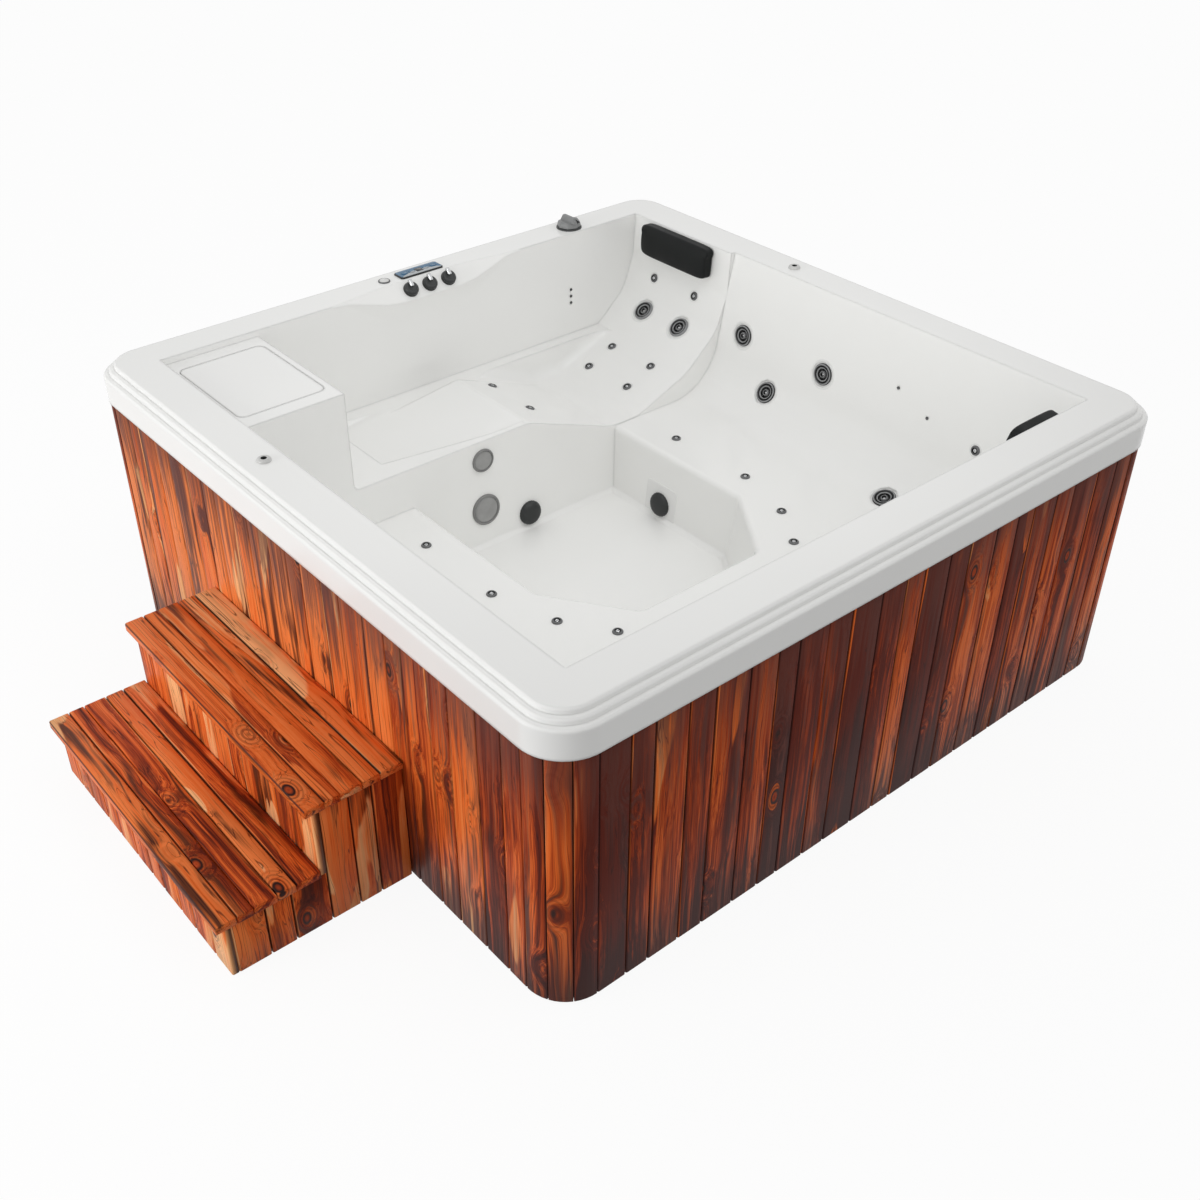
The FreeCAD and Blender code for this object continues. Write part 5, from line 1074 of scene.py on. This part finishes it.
BUTTON_RING = mm(
    (19.8, 0), (19.8, 2.2), (19.2, 3.6), (18.2, 4.2), (17.2, 4), (16.6, 3.2), (16.5, -8), (0, -8),
)
BUTTON = mm((15.8, -4.5), (15.8, 3.4), (15.4, 4.4), (14.4, 5), (9, 5.6), (0, 5.8))
# Sweep of the panel's film, in shares of the panel's half width
SWEEP_BEND = 0.9
SWEEP_START = -0.05
SWEEP_FADE = 0.06
PANEL_KEYS = 4
LEVEL_NORMAL = 0.99
TOP_GAP = 1e-4


@register_operator
class HOTTUB_OT_panel(bpy.types.Operator):
    """Dress the control panel, its display and keys, and the air button"""

    bl_idname = "hottub.panel"
    bl_label = "Control panel"

    def execute(self, context):
        colours = context.scene.tub_colours
        sizes = context.scene.tub_sizes
        black = moulded("panel_black", linear(22, 23, 24), roughness=0.3)
        film = overlay(colours)
        low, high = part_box("control_panel")
        middle = (low + high) / 2
        half = (high - low) / 2
        display = moulded("display_black", linear(14, 15, 16), roughness=0.1)
        plain = [("control_panel", [black, film]), ("panel_display", [display])]
        plain += [("panel_key_%d" % (i + 1), [film]) for i in range(PANEL_KEYS)]
        for node, materials in plain:
            bm = welded(node)
            rounded(bm, sizes.small_edge, segments=2)
            layer = bm.verts.layers.float_vector.new("panel")
            for vert in bm.verts:
                offset = vert.co - middle
                vert[layer] = Vector((offset.x / half.x, offset.y / half.y, 0))
            if len(materials) > 1:
                for face in bm.faces:
                    level = face.normal.z > LEVEL_NORMAL
                    on_top = face.calc_center_median().z > high.z - TOP_GAP
                    face.material_index = 1 if level and on_top else 0
            dressed(node, bm, materials, FLAT_CREASE)
        seat = (Vector(turned_seats("air_button_ring")[0][0]), UP)
        ring = Lathe(sizes.segments)
        ring.turn(seat, BUTTON_RING)
        dressed("air_button_ring", ring.bm, [moulded("button_ring", linear(92, 93, 94), roughness=0.3)])
        button = Lathe(sizes.segments)
        button.turn(seat, BUTTON)
        dressed("air_button", button.bm, [moulded("button_white", linear(222, 222, 220), roughness=0.28)])
        return {"FINISHED"}


VALVE_COLLAR = mm((22.5, 0), (22.5, 2.8), (21.7, 4.3), (20.5, 5), (0, 5))
VALVE_CAP = mm(
    (0, 5.4), (20.5, 5.4), (21.2, 6.6), (21.4, 11), (20.8, 14.2), (19.4, 16.5), (17.4, 18),
    (15.2, 18.4), (13.2, 17.6), (11.8, 16.4), (0, 16),
)
CAP_SPREAD = 1.14
CAP_RIBS = 32
CAP_RIB_DEPTH = 0.02
AIR_VALVES = 3
LEVER_REACH = 1.05
LEVER_BREADTH = 1.7
LEVER_RISE = 1.15
LEVER_END = 0.5
DIVERTER_COLLAR = mm((45, 0), (45, 2.8), (44, 4.6), (42, 5.8), (40, 6), (0, 6))
KNOB_ROUND = 2.5


def stretch(bm, seat, way, shares):
    """Scale a mesh about a seat: along a way, across it, and along the seat's normal."""
    point, normal = seat
    across = normal.cross(way)
    for vert in bm.verts:
        offset = vert.co - point
        parts = [axis * offset.dot(axis) * share for axis, share in zip((way, across, normal), shares)]
        vert.co = point + sum(parts, Vector())


@register_operator
class HOTTUB_OT_valves(bpy.types.Operator):
    """Make the air valves with their levers, and the diverter with its knob"""

    bl_idname = "hottub.valves"
    bl_label = "Valves and diverter"

    def execute(self, context):
        colours = context.scene.tub_colours
        sizes = context.scene.tub_sizes
        dark = moulded("valve_charcoal", colours.charcoal, roughness=0.42, grain=500.0, strength=0.15)
        chrome = metal("lever_chrome", linear(206, 207, 208), roughness=0.12)
        black = moulded("lever_black", linear(24, 25, 26), roughness=0.34)
        bases = Lathe(sizes.segments)
        for number in range(1, 1 + AIR_VALVES):
            seat = joint_seat("air_valve_%d" % number)
            bases.turn(seat, widened(VALVE_COLLAR, CAP_SPREAD))
            cap = Lathe(2 * sizes.segments)
            cap.turn(seat, widened(VALVE_CAP, CAP_SPREAD), 0, CAP_RIBS, CAP_RIB_DEPTH)
            dressed("valve_cap_%d" % number, cap.bm, [dark])
            node = "valve_lever_%d" % number
            bm = welded(node)
            rounded(bm, sizes.small_edge, segments=2)
            reach = sum((v.co - seat[0] for v in bm.verts), Vector())
            reach = (reach - seat[1] * reach.dot(seat[1])).normalized()
            stretch(bm, seat, reach, (LEVER_REACH, LEVER_BREADTH, LEVER_RISE))
            bm.normal_update()
            for face in bm.faces:
                face.material_index = 1 if face.normal.dot(reach) > LEVER_END else 0
            dressed(node, bm, [chrome, black], FLAT_CREASE)
        dressed("air_valve_bodies", bases.bm, [dark], name="air_valve_bases")
        grey = moulded("knob_grey", colours.knob, roughness=0.45, grain=500.0, strength=0.12)
        collar = Lathe(sizes.segments)
        collar.turn((joint_seat("diverter_knob")[0], UP), DIVERTER_COLLAR)
        dressed("diverter_body", collar.bm, [dark], name="diverter_collar")
        bm = welded("diverter_knob")
        rounded(bm, KNOB_ROUND * sizes.small_edge, segments=3)
        dressed("diverter_knob", bm, [grey], FLAT_CREASE)
        return {"FINISHED"}


# Pillow in a cube from -1 to 1: how blunt it is, its waist, its flat back and its crown
PILLOW_GRID = 28
PILLOW_BLUNT = 9.0
PILLOW_WAIST = 0.97
PILLOW_BACK = 0.12
WAIST_START = 0.35
WAIST_RUN = 0.3
CROWN_RISE = 0.2
CROWN_ENDS = 0.06


def pillow_point(x, y, z):
    """Point of a cube's face drawn on to a blunt pillow that is drawn in under its top roll."""
    scale = sum(abs(c) ** PILLOW_BLUNT for c in (x, y, z)) ** (-1 / PILLOW_BLUNT)
    x, y, z = x * scale, y * scale, z * scale
    step = min(1, max(0, (y - WAIST_START) / WAIST_RUN))
    waist = PILLOW_WAIST + (1 - PILLOW_WAIST) * step * step * (3 - 2 * step)
    crown = 1 - CROWN_RISE * y * y - CROWN_ENDS * x ** 4
    front = max(z, -1 + PILLOW_BACK)
    return Vector((x * waist, y, (front + 1 - PILLOW_BACK) / (2 - PILLOW_BACK) * crown))


def pillow_mesh(node):
    """Crowned pillow in the space of a CAD pillow, found from that solid's flat back."""
    bm = welded(node)
    back = max(bm.faces, key=lambda f: f.calc_area())
    out = -back.normal
    across = UP.cross(out).normalized()
    rise = out.cross(across)
    spread = [v.co.copy() for v in bm.verts]
    bm.free()
    ways = (across, rise, out)
    lows = [min(p.dot(way) for p in spread) for way in ways]
    highs = [max(p.dot(way) for p in spread) for way in ways]
    made = bmesh.new()
    bmesh.ops.create_cube(made, size=2)
    bmesh.ops.subdivide_edges(made, edges=made.edges, cuts=PILLOW_GRID, use_grid_fill=True)
    for vert in made.verts:
        local = pillow_point(*vert.co)
        place = Vector()
        for i, way in enumerate(ways):
            share = (local[i] + 1) / 2 if i < 2 else local[i]
            place += way * (lows[i] + (highs[i] - lows[i]) * share)
        vert.co = place
    return made


@register_operator
class HOTTUB_OT_pillows(bpy.types.Operator):
    """Make the two neck pillows"""

    bl_idname = "hottub.pillows"
    bl_label = "Pillows"

    def execute(self, context):
        skin = pillow_skin(context.scene.tub_colours)
        for node in ("lounge_pillow", "corner_pillow"):
            made = dressed(node, pillow_mesh(node), [skin], SOFT_CREASE)
        return {"FINISHED"}


@register_operator
class HOTTUB_OT_inside(bpy.types.Operator):
    """Give the frame and the machinery inside the cabinet their materials"""

    bl_idname = "hottub.inside"
    bl_label = "Inside the cabinet"

    def execute(self, context):
        frame_timber = raw_timber("frame_timber", (0.46, 0.32, 0.19))
        black = moulded("inner_black", linear(40, 41, 43), roughness=0.5)
        looks = {
            "frame_wood": frame_timber, "pan_plastic": black, "pump_plastic": black,
            "motor_paint": moulded("motor_paint", linear(58, 60, 64), roughness=0.35),
            "white_pipe": moulded("white_pipe", linear(226, 226, 222), roughness=0.4),
            "heater_steel": metal("heater_steel", linear(190, 191, 193), roughness=0.3),
            "filter_cloth": moulded(
                "filter_cloth", linear(218, 226, 234), roughness=0.9, grain=1500.0, strength=0.4,
            ),
        }
        for node, made in NODES.items():
            slot = slot_of(node)
            if slot in looks:
                made.data.materials.clear()
                made.data.materials.append(looks[slot])
        return {"FINISHED"}


# Stage: places and sizes in metres, spreads in degrees
FLOOR_REACH = 40
FLOOR_DROP = 0.0005
FLOOR_GREY = (0.25, 0.25, 0.25)
FLOOR_GLOW = 0.92
WHITE = (1, 1, 1)
KEY = {"size": 3.2, "place": (-1.0, -6.0, 1.15), "target": (0, -1.1, 0.6), "spread": 180}
TOP = {"size": 1.6, "place": (0.9, 0.2, 3.5), "target": (-0.35, -0.1, 0.5), "spread": 70}
VIEW_LIMIT = 100


def lamp(name, power, size, place, target, spread):
    """Add a round lamp that faces a target."""
    data = bpy.data.lights.new(name, "AREA")
    data.spread = math.radians(spread)
    data.shape = "DISK"
    data.size = size
    data.energy = power
    made = bpy.data.objects.new(name, data)
    bpy.context.scene.collection.objects.link(made)
    made.location = place
    made.rotation_euler = (Vector(target) - Vector(place)).to_track_quat("-Z", "Y").to_euler()


@register_operator
class HOTTUB_OT_stage(bpy.types.Operator):
    """Make the floor, the light and the camera"""

    bl_idname = "hottub.stage"
    bl_label = "Stage"

    def execute(self, context):
        scene = context.scene
        stage = scene.tub_stage
        bm = bmesh.new()
        bmesh.ops.create_grid(bm, x_segments=1, y_segments=1, size=FLOOR_REACH)
        mesh = bpy.data.meshes.new("floor")
        bm.to_mesh(mesh)
        bm.free()
        floor = bpy.data.objects.new("floor", mesh)
        scene.collection.objects.link(floor)
        floor.location.z = -FLOOR_DROP
        tree = material_tree("floor_white")
        tree.set(Base_Color=FLOOR_GREY, Roughness=0.9)
        bright = tree.node("Emission", {"Color": WHITE, "Strength": 1.0})
        white = tree.node("BsdfDiffuse", {"Color": WHITE})
        faint = tree.node("MixShader", {0: FLOOR_GLOW, 1: white.outputs[0], 2: bright.outputs[0]})
        tree.show(tree.shader, faint, "Material Output")
        mesh.materials.append(tree.block)
        self.sky(scene, stage)
        lamp("key", stage.key, **KEY)
        lamp("top", stage.top, **TOP)
        self.camera(scene, stage)
        scene.view_settings.view_transform = "Standard"
        return {"FINISHED"}

    def sky(self, scene, stage):
        """Make a white surround whose light grows from the horizon up."""
        scene.world = bpy.data.worlds.new("studio")
        tree = Tree(scene.world, "Background")
        way = tree.node("TexCoord", {}).outputs["Generated"]
        climb = tree.node("MapRange", {
            "Value": tree.node("SeparateXYZ", {0: way}).outputs["Z"],
            "To Min": stage.horizon, "To Max": stage.sky,
        })
        tree.set(Color=WHITE, Strength=climb.outputs["Result"])
        plain = tree.node("Background", {"Color": WHITE, "Strength": 1.0})
        tree.show(tree.shader, plain, "World Output")

    def camera(self, scene, stage):
        """Make the camera that the photograph was solved for."""
        data = bpy.data.cameras.new("camera")
        data.lens = stage.lens
        data.shift_x = stage.shift[0]
        data.shift_y = stage.shift[1]
        data.clip_end = VIEW_LIMIT
        made = bpy.data.objects.new("camera", data)
        scene.collection.objects.link(made)
        made.location = stage.place
        level = math.cos(stage.elevation)
        back = Vector((math.sin(stage.azimuth) * level, -math.cos(stage.azimuth) * level,
                       math.sin(stage.elevation)))
        made.rotation_euler = (-back).to_track_quat("-Z", "Y").to_euler()
        scene.camera = made


class HOTTUB_PT_panel(bpy.types.Panel):
    """Lists the pieces and their settings"""

    bl_idname = "HOTTUB_PT_panel"
    bl_label = "Hot Tub"
    bl_space_type = "VIEW_3D"
    bl_region_type = "UI"
    bl_category = "Hot Tub"

    def draw(self, context):
        for cls in OPERATORS:
            self.layout.operator(cls.bl_idname)
        for group in (context.scene.tub_colours, context.scene.tub_sizes, context.scene.tub_stage):
            for key in group.__annotations__:
                self.layout.prop(group, key)


CLASSES = [TubColours, TubSizes, TubStage] + OPERATORS + [HOTTUB_PT_panel]


def register():
    """Register the classes and give the scene its settings."""
    for cls in CLASSES:
        bpy.utils.register_class(cls)
    bpy.types.Scene.tub_colours = PointerProperty(type=TubColours)
    bpy.types.Scene.tub_sizes = PointerProperty(type=TubSizes)
    bpy.types.Scene.tub_stage = PointerProperty(type=TubStage)


def unregister():
    """Take the settings and the classes away again."""
    del bpy.types.Scene.tub_stage
    del bpy.types.Scene.tub_sizes
    del bpy.types.Scene.tub_colours
    for cls in reversed(CLASSES):
        bpy.utils.unregister_class(cls)


def main():
    """Build every piece in order."""
    register()
    for cls in OPERATORS:
        group, name = cls.bl_idname.split(".")
        getattr(getattr(bpy.ops, group), name)()


if __name__ == "__main__":
    main()
